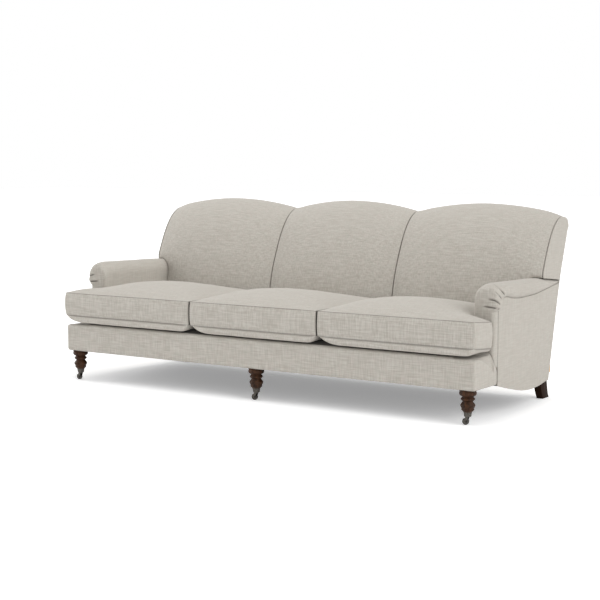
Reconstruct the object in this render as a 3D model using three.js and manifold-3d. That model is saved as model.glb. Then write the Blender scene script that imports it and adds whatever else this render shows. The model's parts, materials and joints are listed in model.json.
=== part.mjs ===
// English roll arm sofa, in millimetres. +X is the sitter's left, -Y is the front, +Z is up.
// The floor is z = 0. While it is built, y = 0 is the front face of the front rail.
import * as THREE from 'three';
import { mergeVertices } from 'three/addons/utils/BufferGeometryUtils.js';
import Module from 'manifold-3d';

// Driving dimensions of the whole sofa
const halfWidth = 1140;
const railBottom = 149;
const railHeight = 151;
const deckTop = railBottom + railHeight;
const fit = 0.3;
const cutOverrun = 40;

// Facets of the round pieces
const roundSteps = 16;
const boreSteps = 12;
const wheelSteps = 20;
const cornerSteps = 5;
const smallCornerSteps = 3;
const rollSteps = 5;
const sideRailSteps = 8;
const crownRounds = 400;

// Seat base: upholstered front rail, platform and suspension
const railReturn = 214;
const railCorner = 22;
const railEdge = 6;
const shoulderWidth = 45;
const shoulderDrop = 90;
const paddingFront = 20;
const deckThickness = 22;
const webThickness = 2;
const frameTop = deckTop - deckThickness - fit - webThickness - fit;
const frontBeamDepth = 54;
const boardThickness = 26;
const frontBeamLift = 8;
const stretcherHeight = 62;
const blockLeg = 72;
const blockHeight = 76;
const webInset = 10;
const webLap = 20;
const webStripWidth = 50;
const seatStripsAcross = 11;
const seatStripsDeep = 5;
const backStripsAcross = 11;
const dustThickness = 1.5;

// Outside arm panels and the base line of the sides
const panelThickness = 6;
const panelDropFront = 4;
const panelDropLow = 73;
const panelDropRear = 63;
const panelBottomFront = railBottom - panelDropFront;
const panelBottomLow = railBottom - panelDropLow;
const panelBottomRear = railBottom - panelDropRear;
const taperAtBase = 40;
const taperAtArm = 13;

// Back: line of the outside back, line of the pull seams, humps
const backFootY = 834;
const backLeanDepth = 46;
const backRakeDepth = 134;
const backDepthAtSeat = 214;
const backWaistHeight = 245;
const backShoulderHeight = 488;
const backValleyHeight = 552;
const backWaistY = backFootY + backLeanDepth;
const backTopY = backFootY + backRakeDepth;
const backSeatY = backFootY - backDepthAtSeat;
const backWaistZ = deckTop + backWaistHeight;
const backShoulderZ = deckTop + backShoulderHeight;
const backValleyZ = deckTop + backValleyHeight;
const humpRise = 45;
const humpArch = 26;
const pullSeamX = 359;
const backSideInset = 13;
const backSideX = halfWidth - backSideInset;
const borderThickness = 6;
const edgeReach = 40;
const edgeSetBack = 7;
const edgeDrop = 9;
const postDepth = 45;
const postThickness = 27;
const topPadding = 45;
const lowerRailHeight = 50;
const topRailHeight = 62;

// Arms
const armWidth = 100;
const armSetBackDepth = 38;
const armInnerX = halfWidth - armWidth;
const armFrontY = railReturn - armSetBackDepth;
const armFrontRound = 16;
const armHeight = 285;
const armFallHeight = 10;
const armRearFallHeight = 22;
const armLevelLength = 30;
const armCrestFront = deckTop + armHeight;
const armCrestMiddle = armCrestFront - armFallHeight;
const armCrestMiddleY = backSeatY + armLevelLength;
const armCrestRear = armCrestMiddle - armRearFallHeight;
const rollHeight = 54;
const rollSeamDropFront = 115;
const rollSeamDropRear = 13;
const rollSeamFront = armCrestFront - rollSeamDropFront;
const rollSeamRear = armCrestRear - rollSeamDropRear;
const rollOverhang = 18;
const rollOverhangRear = 2;
const rollTuck = 24;
const rollTuckRear = 4;
const rollFullnessShare = 2.5;
const armPadInner = 22;
const armPadTop = 26;
const armPadOuter = 8;
const armRailHeight = 24;
const armPostDepth = 40;
const armRailGap = 10;
const armGapToBack = 3;

// Seat cushions
const cushionOverhang = 5;
const cushionBackGap = 15;
const cushionFoot = 28;
const cushionBorder = 112.5;
const cushionFrontY = -cushionOverhang;
const cushionBackY = backSeatY - cushionBackGap;
const seamBottomZ = deckTop + cushionFoot;
const seamTopZ = seamBottomZ + cushionBorder;
const crownRise = 57;
const cushionGap = 3;
const cushionArmGap = 4;
const earOverhang = 1;
const earGapToArm = 24;
const earSideX = halfWidth + earOverhang;
const earBackY = armFrontY - earGapToArm;
const earDroop = 13;
const earPressureShare = 2.5;
const cushionCorner = 18;
const borderBulge = 5;
const cushionWallSteps = 3;
const flatFromShare = 0.22;
const crownFullnessShare = 0.72;

// Front legs, ferrules and casters
const frontLegInset = 50;
const frontLegX = halfWidth - frontLegInset;
const frontLegY = 38;
const legTopRadius = 35;
const ferruleTopZ = 57;
const ferruleBottomZ = 37;
const ferruleTopRadius = 18;
const ferruleBottomRadius = 15.3;
const ferruleWall = 2;
const ferruleFloor = 4;
const stemRadius = 4;
const boreClearance = 0.3;
const stemTopDrop = 7;
const stemTopZ = ferruleTopZ - stemTopDrop;
const boltRadius = 5;
const boltInRail = 56;
const boltInLeg = 49;
const boltTopZ = railBottom + boltInRail;
const boltBottomZ = railBottom - boltInLeg;
const wheelRadius = 15;
const wheelWidth = 13;
const treadEdge = 2.2;
const wheelTrail = 9;
const axleRadius = 3;
const forkThickness = 3;
const forkClearance = 0.8;
const hornTopGap = 0.6;
const axleHead = 5;
const axleHeadLength = 2;

// Rear legs: square, tapered and raked backwards
const rearLegHousing = 14;
const rearLegInset = 54;
const rearLegTopZ = panelBottomRear + rearLegHousing;
const rearLegOuterX = halfWidth - rearLegInset;
const rearLegFootWidth = 32;
const rearLegTopWidth = 36;
const rearLegAheadDepth = 70;
const rearLegTopDepth = 79;
const rearLegRakeDepth = 42;
const rearLegFootDepth = 67;
const rearLegTopFrontY = backFootY - rearLegAheadDepth;
const rearLegTopBackY = rearLegTopFrontY + rearLegTopDepth;
const rearLegFootFrontY = rearLegTopFrontY + rearLegRakeDepth;
const rearLegFootBackY = rearLegFootFrontY + rearLegFootDepth;
const rearLegWaistShare = 0.55;
const rearLegWaistPull = 6;

// Plain tab in the rear seam
const tabHeight = 35;
const tabLength = 14;
const tabThickness = 2;
const tabLift = 36;
const tabBottomZ = panelBottomRear + tabLift;

const sides = [['left', -1], ['right', 1]];

// Materials, one to each finish
const finish = (color, roughness, metalness = 0) => () =>
  new THREE.MeshStandardMaterial({ color, roughness, metalness });
const linen = finish('#bcb7ab', 0.95);
const paleLinen = finish('#c6c1b8', 0.95);
const walnut = finish('#4a362c', 0.45);
const beech = finish('#c9a877', 0.7);
const agedBrass = finish('#6b6358', 0.42, 0.9);
const darkMetal = finish('#3c3835', 0.4, 0.9);
const steel = finish('#8d8f92', 0.35, 1);
const webbing = finish('#3a3a3c', 0.9);
const blackCloth = finish('#2a2a2c', 0.95);
const feltPad = finish('#e4e0d6', 0.95);
const tanTape = finish('#c8a27a', 0.85);

const sofa = new THREE.Group();
sofa.name = 'roll_arm_sofa';

const addPiece = (name, geometry, material) => {
  const mesh = new THREE.Mesh(geometry, material());
  mesh.name = name;
  sofa.add(mesh);
  return mesh;
};

const mix = (a, b, share) => a + (b - a) * share;
const quarterTurn = (steps) => Array.from({ length: steps + 1 }, (_, k) => (Math.PI / 2) * (k / steps));
const clampBetween = (value, low, high) => Math.min(high, Math.max(low, value));
const clampShare = (value) => clampBetween(value, 0, 1);

// Height at a place on a line drawn through points of [share along, share up]
const through = (points, along) => {
  const next = points.findIndex(([share]) => share > along);
  if (next === 0) return points[0][1];
  if (next < 0) return points[points.length - 1][1];
  const [[a0, u0], [a1, u1]] = [points[next - 1], points[next]];
  return mix(u0, u1, (along - a0) / (a1 - a0));
};

// Joins and cuts of closed meshes
const wasm = await Module();
wasm.setup();

const toSolid = (geometry) => {
  const bare = geometry.clone();
  bare.deleteAttribute('normal');
  bare.deleteAttribute('uv');
  const merged = mergeVertices(bare, 1e-4);
  const vertProperties = Float32Array.from(merged.attributes.position.array);
  const triVerts = Uint32Array.from(merged.index.array);
  return new wasm.Manifold(new wasm.Mesh({ numProp: 3, vertProperties, triVerts }));
};

const toGeometry = (solid) => {
  const mesh = solid.getMesh();
  return closedGeometry(Array.from(mesh.vertProperties), Array.from(mesh.triVerts));
};

const cut = (geometry, ...tools) => {
  const solids = tools.map(toSolid);
  const result = solids.reduce((left, tool) => left.subtract(tool), toSolid(geometry));
  return toGeometry(result);
};

// A closed geometry from points and triangles, turned so that its faces point out
function closedGeometry(coordinates, triangles) {
  const corner = (index) => new THREE.Vector3().fromArray(coordinates, 3 * index);
  let sixVolumes = 0;
  for (let t = 0; t < triangles.length; t += 3) {
    const [a, b, c] = [corner(triangles[t]), corner(triangles[t + 1]), corner(triangles[t + 2])];
    sixVolumes += a.dot(b.cross(c));
  }
  if (sixVolumes < 0) {
    for (let t = 0; t < triangles.length; t += 3) {
      [triangles[t + 1], triangles[t + 2]] = [triangles[t + 2], triangles[t + 1]];
    }
  }
  const geometry = new THREE.BufferGeometry();
  geometry.setAttribute('position', new THREE.Float32BufferAttribute(coordinates, 3));
  geometry.setIndex(triangles);
  geometry.computeVertexNormals();
  return geometry;
}

// A body between two grids of points, an outer and an inner one, with walls round its edge and its holes.
// wallPoint gives the points between the two grids on an edge, if the wall has any.
function sheetBody(columns, rows, outer, inner, filled = () => true, wallSteps = 0, wallPoint = null) {
  const coordinates = [];
  const triangles = [];
  const numbers = new Map();
  const outward = new Map();
  const isFilled = (i, j) => i >= 0 && j >= 0 && i < columns && j < rows && filled(i, j);
  const numberOf = (i, j, level) => {
    const key = `${i},${j},${level}`;
    if (!numbers.has(key)) {
      const point = level === 0 ? outer(i, j)
        : level === wallSteps + 1 ? inner(i, j)
          : wallPoint(i, j, level / (wallSteps + 1), outward.get(`${i},${j}`));
      numbers.set(key, coordinates.length / 3);
      coordinates.push(point.x, point.y, point.z);
    }
    return numbers.get(key);
  };
  const quad = (a, b, c, d) => triangles.push(a, b, c, a, c, d);
  const edges = [];
  for (let i = 0; i < columns; i += 1) {
    for (let j = 0; j < rows; j += 1) {
      if (!isFilled(i, j)) continue;
      const corners = [[i, j], [i + 1, j], [i + 1, j + 1], [i, j + 1]];
      quad(...corners.map(([a, b]) => numberOf(a, b, 0)));
      quad(...corners.map(([a, b]) => numberOf(a, b, wallSteps + 1)).reverse());
      const steps = [[0, -1], [1, 0], [0, 1], [-1, 0]];
      steps.forEach(([di, dj], side) => {
        if (isFilled(i + di, j + dj)) return;
        const ends = [corners[side], corners[(side + 1) % 4]];
        edges.push(ends);
        ends.forEach(([a, b]) => {
          const key = `${a},${b}`;
          const sum = outward.get(key) ?? new THREE.Vector2();
          outward.set(key, sum.add(new THREE.Vector2(di, dj)));
        });
      });
    }
  }
  edges.forEach(([[ai, aj], [bi, bj]]) => {
    for (let level = 0; level <= wallSteps; level += 1) {
      quad(numberOf(bi, bj, level), numberOf(ai, aj, level),
        numberOf(ai, aj, level + 1), numberOf(bi, bj, level + 1));
    }
  });
  return closedGeometry(coordinates, triangles);
}

// A body through closed rings of points, with flat ends seen along Y
function loftBody(rings) {
  const count = rings[0].length;
  const coordinates = rings.flat().flatMap((point) => [point.x, point.y, point.z]);
  const triangles = [];
  for (let r = 0; r + 1 < rings.length; r += 1) {
    for (let k = 0; k < count; k += 1) {
      const [a, b] = [r * count + k, r * count + ((k + 1) % count)];
      triangles.push(a, b, b + count, a, b + count, a + count);
    }
  }
  [0, rings.length - 1].forEach((r) => {
    const outline = rings[r].map((point) => new THREE.Vector2(point.x, point.z));
    const turn = Math.sign(THREE.ShapeUtils.area(outline)) * (r === 0 ? -1 : 1);
    THREE.ShapeUtils.triangulateShape(outline, []).forEach((face) => {
      const [p, q, s] = face.map((k) => outline[k]);
      const faceTurn = Math.sign(q.clone().sub(p).cross(s.clone().sub(p)));
      const ordered = faceTurn === turn ? face : [face[0], face[2], face[1]];
      triangles.push(...ordered.map((k) => r * count + k));
    });
  });
  return closedGeometry(coordinates, triangles);
}

// Boards: an outline and the two planes that it is sawn between
const outlineShape = (points) => new THREE.Shape(points.map(([a, b]) => new THREE.Vector2(a, b)));
const sawn = (points, depth) => new THREE.ExtrudeGeometry(
  outlineShape(points), { depth, bevelEnabled: false });
const boardAlongX = (points, from, to) => {
  const turn = new THREE.Matrix4().makeBasis(
    new THREE.Vector3(0, 1, 0), new THREE.Vector3(0, 0, 1), new THREE.Vector3(1, 0, 0));
  return sawn(points, to - from).applyMatrix4(turn).translate(from, 0, 0);
};
const boardAlongY = (points, from, to) => {
  const turn = new THREE.Matrix4().makeBasis(
    new THREE.Vector3(1, 0, 0), new THREE.Vector3(0, 0, 1), new THREE.Vector3(0, -1, 0));
  return sawn(points, to - from).applyMatrix4(turn).translate(0, to, 0);
};
const boardAlongZ = (points, from, to) => sawn(points, to - from).translate(0, 0, from);
const block = (x0, x1, y0, y1, z0, z1) => {
  const geometry = new THREE.BoxGeometry(x1 - x0, y1 - y0, z1 - z0);
  return geometry.translate((x0 + x1) / 2, (y0 + y1) / 2, (z0 + z1) / 2);
};
const roundedFront = (half, front, back, radius, steps) => {
  const points = [[half, back]];
  for (let k = 0; k <= steps; k += 1) {
    const angle = (Math.PI / 2) * (k / steps);
    points.push([half - radius + radius * Math.cos(angle), front + radius - radius * Math.sin(angle)]);
  }
  return [...points, ...points.map(([x, y]) => [-x, y]).reverse()];
};
const bothWays = (side, a, b) => [Math.min(side * a, side * b), Math.max(side * a, side * b)];
const sideBlock = (side, x0, x1, y0, y1, z0, z1) => block(...bothWays(side, x0, x1), y0, y1, z0, z1);
const turned = (profile, segments) => {
  const points = profile.map(([radius, z]) => new THREE.Vector2(radius, z));
  return new THREE.LatheGeometry(points, segments).rotateX(Math.PI / 2);
};
const rod = (radius, z0, z1, segments) => turned([[0, z0], [radius, z0], [radius, z1], [0, z1]], segments);

// Outside line of the back, leaning a little up to the arms and more above them
const rearLine = (z) => (z < backWaistZ
  ? mix(backFootY, backWaistY, (z - panelBottomRear) / (backWaistZ - panelBottomRear))
  : mix(backWaistY, backTopY, clampShare((z - backWaistZ) / (backShoulderZ - backWaistZ))));
const postBack = (z) => rearLine(z) - panelThickness - fit;
const postFront = (z) => postBack(z) - postDepth;
const padBack = (z) => postFront(z) - fit - webThickness - fit;

// Half width over the outside panels, drawn in towards the rear and more at the base
const outsideX = (y, z) => {
  const along = clampShare((y - railReturn) / (backFootY - railReturn));
  const down = clampShare((backWaistZ - z) / (backWaistZ - panelBottomRear));
  return halfWidth - mix(taperAtArm, taperAtBase, down) * along ** 2;
};
const insideX = (y, z) => outsideX(y, z) - panelThickness - fit;

// Base line of the sides: it drops behind the front rail, runs low and rises to the rear leg
const baseCurve = new THREE.SplineCurve([
  [0, 1], [0.2, 0.52], [0.42, 0.14], [0.67, 0], [1, 0]
].map(([along, up]) => new THREE.Vector2(
  mix(railReturn, backFootY, along), mix(panelBottomLow, panelBottomFront, up))));
const baseLine = (y) => {
  const along = clampShare((y - railReturn) / (backFootY - railReturn));
  const low = baseCurve.getPoint(along).y;
  return low + (panelBottomRear - panelBottomLow) * clampShare(2 * along - 1) ** 2;
};

// Crest of the arm, falling towards the back
const armCrest = (y) => (y < armCrestMiddleY
  ? mix(armCrestFront, armCrestMiddle, (y - armFrontY) / (armCrestMiddleY - armFrontY))
  : mix(armCrestMiddle, armCrestRear, (y - armCrestMiddleY) / (backWaistY - armCrestMiddleY)));
const behindArmMiddle = (y) => clampShare((y - armCrestMiddleY) / (backWaistY - armCrestMiddleY));

// Seam under the roll: up round the gathered front end, down behind it, level, then up to the back
const rollSeamShares = [[0, 0], [0.015, 0.31], [0.056, 0.63], [0.098, 0.77], [0.19, 0.64], [0.32, 0.53],
  [0.45, 0.54], [0.59, 0.57], [0.77, 0.75], [0.95, 0.94], [1, 1]];
const panelTop = (y) => mix(rollSeamFront, rollSeamRear,
  through(rollSeamShares, (y - railReturn) / (backWaistY - railReturn))) - fit;
const rollSeam = (y) => panelTop(y) + fit;
const rollTuckAt = (y) => mix(rollTuck, rollTuckRear, behindArmMiddle(y));
const rollOverhangAt = (y) => mix(rollOverhang, rollOverhangRear, behindArmMiddle(y));

// Seat frame of beech boards
const boltPlaces = [['left', -frontLegX], ['centre', 0], ['right', frontLegX]];
const frontBeamBack = paddingFront + frontBeamDepth;
const frontBeamBottom = railBottom + frontBeamLift;
const beamHalf = halfWidth - paddingFront - fit;
const boltBore = boltRadius + boreClearance;
const boltHole = (x) => rod(boltBore, railBottom - cutOverrun, boltTopZ + fit, boreSteps)
  .translate(x, frontLegY, 0);
const beamOutline = roundedFront(beamHalf, paddingFront + fit, frontBeamBack,
  railCorner - paddingFront - fit, smallCornerSteps);
addPiece('front_rail', cut(boardAlongZ(beamOutline, frontBeamBottom, frameTop),
  ...boltPlaces.map(([, x]) => boltHole(x))), beech);

const postOuterX = armInnerX + postThickness + fit;
const sideRailStart = frontBeamBack + fit;
const sideRailOuter = (along) => mix(beamHalf, insideX(backFootY, panelBottomRear) - fit, along);
const sideRailUnder = (along) => {
  const z = baseLine(mix(sideRailStart, backFootY, along)) + frontBeamLift;
  return [mix(sideRailStart, postBack(z), along), z];
};
const legRoom = (side) => sideBlock(side,
  rearLegOuterX - rearLegTopWidth - webThickness, rearLegOuterX + webThickness,
  rearLegTopFrontY - webThickness, backTopY, 0, rearLegTopZ + fit);
for (const [sideName, side] of sides) {
  const railPoint = (i, j, inward) => {
    const along = i / sideRailSteps;
    const top = [mix(sideRailStart, postBack(frameTop), along), frameTop];
    const [y, z] = j === 0 ? sideRailUnder(along) : top;
    return new THREE.Vector3(side * (sideRailOuter(along) - inward), y, z);
  };
  addPiece(`side_rail_${sideName}`, cut(sheetBody(sideRailSteps, 1,
    (i, j) => railPoint(i, j, 0), (i, j) => railPoint(i, j, boardThickness)), legRoom(side)), beech);
}

const backRailFrontY = postFront(frameTop) - fit - boardThickness / 2;
addPiece('back_rail', block(-armInnerX - fit, armInnerX + fit,
  backRailFrontY, backRailFrontY + boardThickness, rearLegTopZ + fit, frameTop), beech);
for (const [sideName, side] of sides) {
  addPiece(`seat_stretcher_${sideName}`, sideBlock(side,
    pullSeamX - boardThickness / 2, pullSeamX + boardThickness / 2,
    sideRailStart, backRailFrontY - fit, frameTop - stretcherHeight, frameTop), beech);
  const railInner = (y) => sideRailOuter((y - sideRailStart) / (backFootY - sideRailStart))
    - boardThickness - 2 * fit;
  const blockEnd = sideRailStart + blockLeg;
  const frontBlock = [[railInner(sideRailStart), sideRailStart],
    [railInner(sideRailStart) - blockLeg, sideRailStart], [railInner(blockEnd), blockEnd]]
    .map(([x, y]) => [side * x, y]);
  addPiece(`corner_block_front_${sideName}`,
    boardAlongZ(frontBlock, frameTop - blockHeight, frameTop), beech);
  addPiece(`corner_block_rear_${sideName}`, sideBlock(side, armInnerX + fit, postOuterX - fit,
    postFront(rearLegTopZ) - blockLeg / 2, postFront(rearLegTopZ) - fit, rearLegTopZ + fit,
    rearLegTopZ + blockHeight), beech);
}

// Back frame: two outer posts down to the rear legs, two uprights, a lower and a shaped top rail
const lowerRailTop = deckTop + fit + lowerRailHeight;
const topRailBottom = backValleyZ - topPadding - topRailHeight;
const postOutline = (z0, z1) => {
  const heights = z0 < backWaistZ ? [z0, backWaistZ, z1] : [z0, z1];
  const front = heights.map((z) => [postFront(z), z]);
  const back = heights.map((z) => [postBack(z), z]).reverse();
  return [...front, ...back];
};
for (const [sideName, side] of sides) {
  addPiece(`back_post_${sideName}`, boardAlongX(postOutline(rearLegTopZ + fit, topRailBottom - fit),
    ...bothWays(side, armInnerX + fit, postOuterX - fit)), beech);
  addPiece(`back_upright_${sideName}`, boardAlongX(postOutline(lowerRailTop + fit, topRailBottom - fit),
    ...bothWays(side, pullSeamX - postThickness / 2, pullSeamX + postThickness / 2)), beech);
}
addPiece('back_lower_rail', boardAlongX([
  [postFront(deckTop), deckTop + fit], [postBack(deckTop), deckTop + fit],
  [postBack(lowerRailTop), lowerRailTop], [postFront(lowerRailTop), lowerRailTop]],
-armInnerX, armInnerX), beech);

// The three sections of the back, from one pull seam to the next
const sections = [
  { name: 'left', from: -backSideX + borderThickness + fit, to: -pullSeamX },
  { name: 'centre', from: -pullSeamX, to: pullSeamX },
  { name: 'right', from: pullSeamX, to: backSideX - borderThickness - fit },
];
const humpAt = (x) => {
  const home = sections.find(({ to }) => x <= to) ?? sections[2];
  const across = (2 * x - home.from - home.to) / (home.to - home.from);
  return 1 - Math.min(1, across ** 2);
};

// Places across one section, closer together towards its seams
const sectionShares = [0, 0.025, 0.082, 0.198, 0.345, 0.5, 0.655, 0.802, 0.918, 0.975, 1];
const backPlaces = sections.flatMap(({ from, to }, k) => sectionShares
  .map((share) => mix(from, to, share)).slice(k === 0 ? 0 : 1));

const railTopAt = (x) => backValleyZ - topPadding + humpRise * humpAt(x);
const topRailHalf = backSideX - borderThickness - 2 * fit - topPadding / 2;
const topRailPlaces = [-topRailHalf, ...backPlaces.filter((x) => Math.abs(x) < topRailHalf), topRailHalf];
const topRailPoint = (i, j, line) => {
  const x = topRailPlaces[i];
  const z = [topRailBottom, backShoulderZ, railTopAt(x) - webThickness][j];
  return new THREE.Vector3(x, line(z), z);
};
addPiece('back_top_rail', sheetBody(topRailPlaces.length - 1, 2,
  (i, j) => topRailPoint(i, j, postFront), (i, j) => topRailPoint(i, j, postBack)), beech);

// Arm frame: a post behind the padded front and a board under the roll
const armRailUnderRear = armCrestRear - armPadTop - armRailHeight - fit;
for (const [sideName, side] of sides) {
  const coreX0 = armInnerX + armPadInner + fit;
  const coreX1 = insideX(backWaistY, armRailUnderRear) - armPadOuter - fit;
  const postY0 = railReturn + fit;
  const railTop = (y) => armCrest(y) - armPadTop - fit;
  const railUnder = (y) => railTop(y) - armRailHeight;
  const postTop = railUnder(postY0 + armPostDepth) - fit;
  addPiece(`arm_post_${sideName}`, sideBlock(side, coreX0, coreX1,
    postY0, postY0 + armPostDepth, frameTop + fit, postTop), beech);
  const railEnd = postFront(armCrestRear - armPadTop) - armRailGap;
  addPiece(`arm_rail_${sideName}`, boardAlongX([
    [postY0, railUnder(postY0)], [armCrestMiddleY, railUnder(armCrestMiddleY)],
    [railEnd, railUnder(railEnd)],
    [railEnd, railTop(railEnd)], [armCrestMiddleY, railTop(armCrestMiddleY)],
    [postY0, railTop(postY0)]], ...bothWays(side, coreX0, coreX1)), beech);
}

// Rubberised webbing: strips that cross, woven into one net
const stripEdges = (from, to, strips, width) => {
  const pitch = (to - from - width) / (strips - 1);
  return Array.from({ length: strips }, (_, k) => [from + k * pitch, from + k * pitch + width]).flat();
};
const crossing = (i, j) => i % 2 === 0 || j % 2 === 0;
const seatWebX = stripEdges(-armInnerX + fit, armInnerX - fit, seatStripsAcross, webStripWidth);
const seatWebY = stripEdges(paddingFront + webInset, backRailFrontY + webLap, seatStripsDeep, webStripWidth);
const seatWebPoint = (z) => (i, j) => new THREE.Vector3(seatWebX[i], seatWebY[j], z);
addPiece('seat_webbing', sheetBody(seatWebX.length - 1, seatWebY.length - 1,
  seatWebPoint(frameTop + fit + webThickness), seatWebPoint(frameTop + fit), crossing), webbing);

const backWebX = stripEdges(-armInnerX, armInnerX, backStripsAcross, webStripWidth);
const backWebZ = [lowerRailTop - lowerRailHeight, lowerRailTop, backWaistZ - webStripWidth, backWaistZ,
  topRailBottom, topRailBottom + webLap];
const backWebPoint = (lift) => (i, j) => new THREE.Vector3(
  backWebX[i], postFront(backWebZ[j]) - lift, backWebZ[j]);
addPiece('back_webbing', sheetBody(backWebX.length - 1, backWebZ.length - 1,
  backWebPoint(fit + webThickness), backWebPoint(fit), crossing), webbing);

// Platform under the cushions
addPiece('seat_deck', block(-armInnerX + fit, armInnerX - fit, railReturn + fit, postFront(deckTop) - fit,
  deckTop - deckThickness, deckTop), feltPad);

// Front rail cover: padded front, ends that return to the arms, and a lip under the cushions
const coverOutline = roundedFront(halfWidth, 0, railReturn, railCorner, cornerSteps);
const railCover = new THREE.ExtrudeGeometry(outlineShape(coverOutline), {
  depth: deckTop - railBottom - 2 * railEdge,
  bevelThickness: railEdge,
  bevelSize: railEdge,
  bevelOffset: -railEdge,
  bevelSegments: 2,
}).translate(0, 0, railBottom + railEdge);
const pocketOutline = roundedFront(halfWidth - paddingFront, paddingFront, railReturn + cutOverrun,
  railCorner - paddingFront, smallCornerSteps);
const railPocket = boardAlongZ(pocketOutline, railBottom - cutOverrun, deckTop - deckThickness);

// The ends of the rail fall away under the cushion ears, more so towards the arm
const shoulderShares = [[-0.1, 0], [0.09, 0.08], [0.18, 0.14], [0.45, 0.31], [0.67, 0.51], [0.83, 0.72],
  [1, 1], [1.2, 1.1]];
const shoulderAcrossShares = [[0, 0], [0.35, 0.04], [0.6, 0.22], [0.78, 0.47], [0.9, 0.73], [1, 1]];
const shoulderLine = ([along, down]) => shoulderAcrossShares.map(([out, fall]) => [
  halfWidth - shoulderWidth * (1 - out), deckTop - shoulderDrop * down * fall, railReturn * along]);
const shoulderTool = (side, lift, closing) => loftBody(shoulderShares.map((place) => {
  const line = shoulderLine(place).map(([x, z, y]) => [x, z + lift, y]);
  const [, lastZ, y] = line[line.length - 1];
  const ring = [...line, [halfWidth + cutOverrun, lastZ, y], ...closing.map(([x, z]) => [x, z, y])];
  return ring.map(([x, z]) => new THREE.Vector3(side * x, y, z));
}));
const aboveShoulder = (side) => shoulderTool(side, 0, [
  [halfWidth + cutOverrun, deckTop + cutOverrun], [halfWidth - shoulderWidth, deckTop + cutOverrun]]);
const underShoulder = (side) => shoulderTool(side, fit, [[halfWidth + cutOverrun, railBottom],
  [armInnerX - cutOverrun, railBottom], [armInnerX - cutOverrun, deckTop + fit]]);
addPiece('front_border', cut(railCover, railPocket, aboveShoulder(-1), aboveShoulder(1)), linen);

// Padded arms: an upright inside face and a full roll over the top, tucked in at the outside panel
const armRing = (side, frontY, rearShare, inset, outerSide, bottom) => {
  const rearMost = (z) => padBack(z) - fit;
  const place = (x, z) => new THREE.Vector3(side * x, mix(frontY, rearMost(z), rearShare), z);
  const yHere = mix(frontY, rearMost(armCrestRear), rearShare);
  const crest = armCrest(yHere) - inset;
  const tuck = rollTuckAt(yHere);
  const seam = rollSeam(yHere);
  const widest = seam + tuck;
  const innerX = armInnerX + inset;
  const outerX = outerSide(yHere, seam) - inset;
  const reach = rollOverhangAt(yHere);
  const middleX = (innerX + outerX + reach) / 2;
  const halfRoll = middleX - innerX;
  const full = (part) => Math.abs(part) ** (2 / rollFullnessShare);
  const quarter = quarterTurn(rollSteps).slice(0, -1);
  const innerHeight = rollHeight - inset;
  const inside = quarter.map((a) => [middleX - halfRoll * full(Math.cos(a)),
    crest - innerHeight * (1 - full(Math.sin(a)))]);
  const outside = quarter.map((a) => [middleX + halfRoll * full(Math.sin(a)),
    crest - (crest - widest) * (1 - full(Math.cos(a)))]);
  const tucked = quarterTurn(smallCornerSteps)
    .map((a) => [outerX + reach * Math.cos(a), widest - tuck * Math.sin(a)]);
  const low = [outerSide(yHere, bottom) - inset, bottom];
  return [[innerX, bottom], ...inside, ...outside, ...tucked, low].map(([x, z]) => place(x, z));
};
const armLength = padBack(armCrestRear) - fit - (railReturn + fit);
const panelLength = postBack(backWaistZ) - (railReturn + fit);
const armPlaces = rollSeamShares.map(([along]) => along * (panelLength / armLength)).filter((along) => along < 1);
armPlaces.push(1);
const armRings = (side) => {
  const frontBottom = deckTop - shoulderDrop - railEdge;
  const front = quarterTurn(smallCornerSteps).map((a) => {
    const y = armFrontY + armFrontRound * (1 - Math.cos(a));
    return armRing(side, y, 0, armFrontRound * (1 - Math.sin(a)), outsideX, frontBottom);
  });
  const atSeam = armRing(side, railReturn, 0, 0, outsideX, frontBottom);
  const run = armPlaces.map((along) => armRing(side, railReturn + fit, along, 0, insideX, frameTop + fit));
  return [...front, atSeam, ...run];
};
const armCore = (side) => {
  const rings = [railReturn, armCrestMiddleY, backWaistY + cutOverrun].map((y) => {
    const top = armCrest(y) - armPadTop;
    const low = frameTop - cutOverrun;
    const x0 = armInnerX + armPadInner;
    const outer = (z) => insideX(y, z) - armPadOuter;
    return [[x0, low], [x0, top], [outer(top), top], [outer(low), low]]
      .map(([x, z]) => new THREE.Vector3(side * x, y, z));
  });
  return loftBody(rings);
};
for (const [sideName, side] of sides) {
  const lipRoom = sideBlock(side, armInnerX - cutOverrun, halfWidth - shoulderWidth, 0, railReturn + fit,
    railBottom, deckTop + fit);
  const ahead = sideBlock(side, armInnerX - cutOverrun, halfWidth + cutOverrun, 0, railReturn + fit / 2,
    railBottom, deckTop + cutOverrun);
  const endRoom = toGeometry(toSolid(underShoulder(side)).intersect(toSolid(ahead)));
  addPiece(`arm_pad_${sideName}`, cut(loftBody(armRings(side)), armCore(side), lipRoom, endRoom), linen);
}

// Outside arm panels, from the front seam to the outside back
for (const [sideName, side] of sides) {
  const point = (i, j, inward) => {
    const along = rollSeamShares[i][0];
    const rough = mix(railReturn + fit, postBack(backWaistZ), along);
    const z = mix(baseLine(rough), panelTop(rough), j / smallCornerSteps);
    const y = mix(railReturn + fit, postBack(z) - fit, along);
    return new THREE.Vector3(side * (outsideX(y, z) - inward), y, z);
  };
  addPiece(`outside_arm_${sideName}`, sheetBody(rollSeamShares.length - 1, smallCornerSteps,
    (i, j) => point(i, j, 0), (i, j) => point(i, j, panelThickness)), paleLinen);
}

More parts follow.
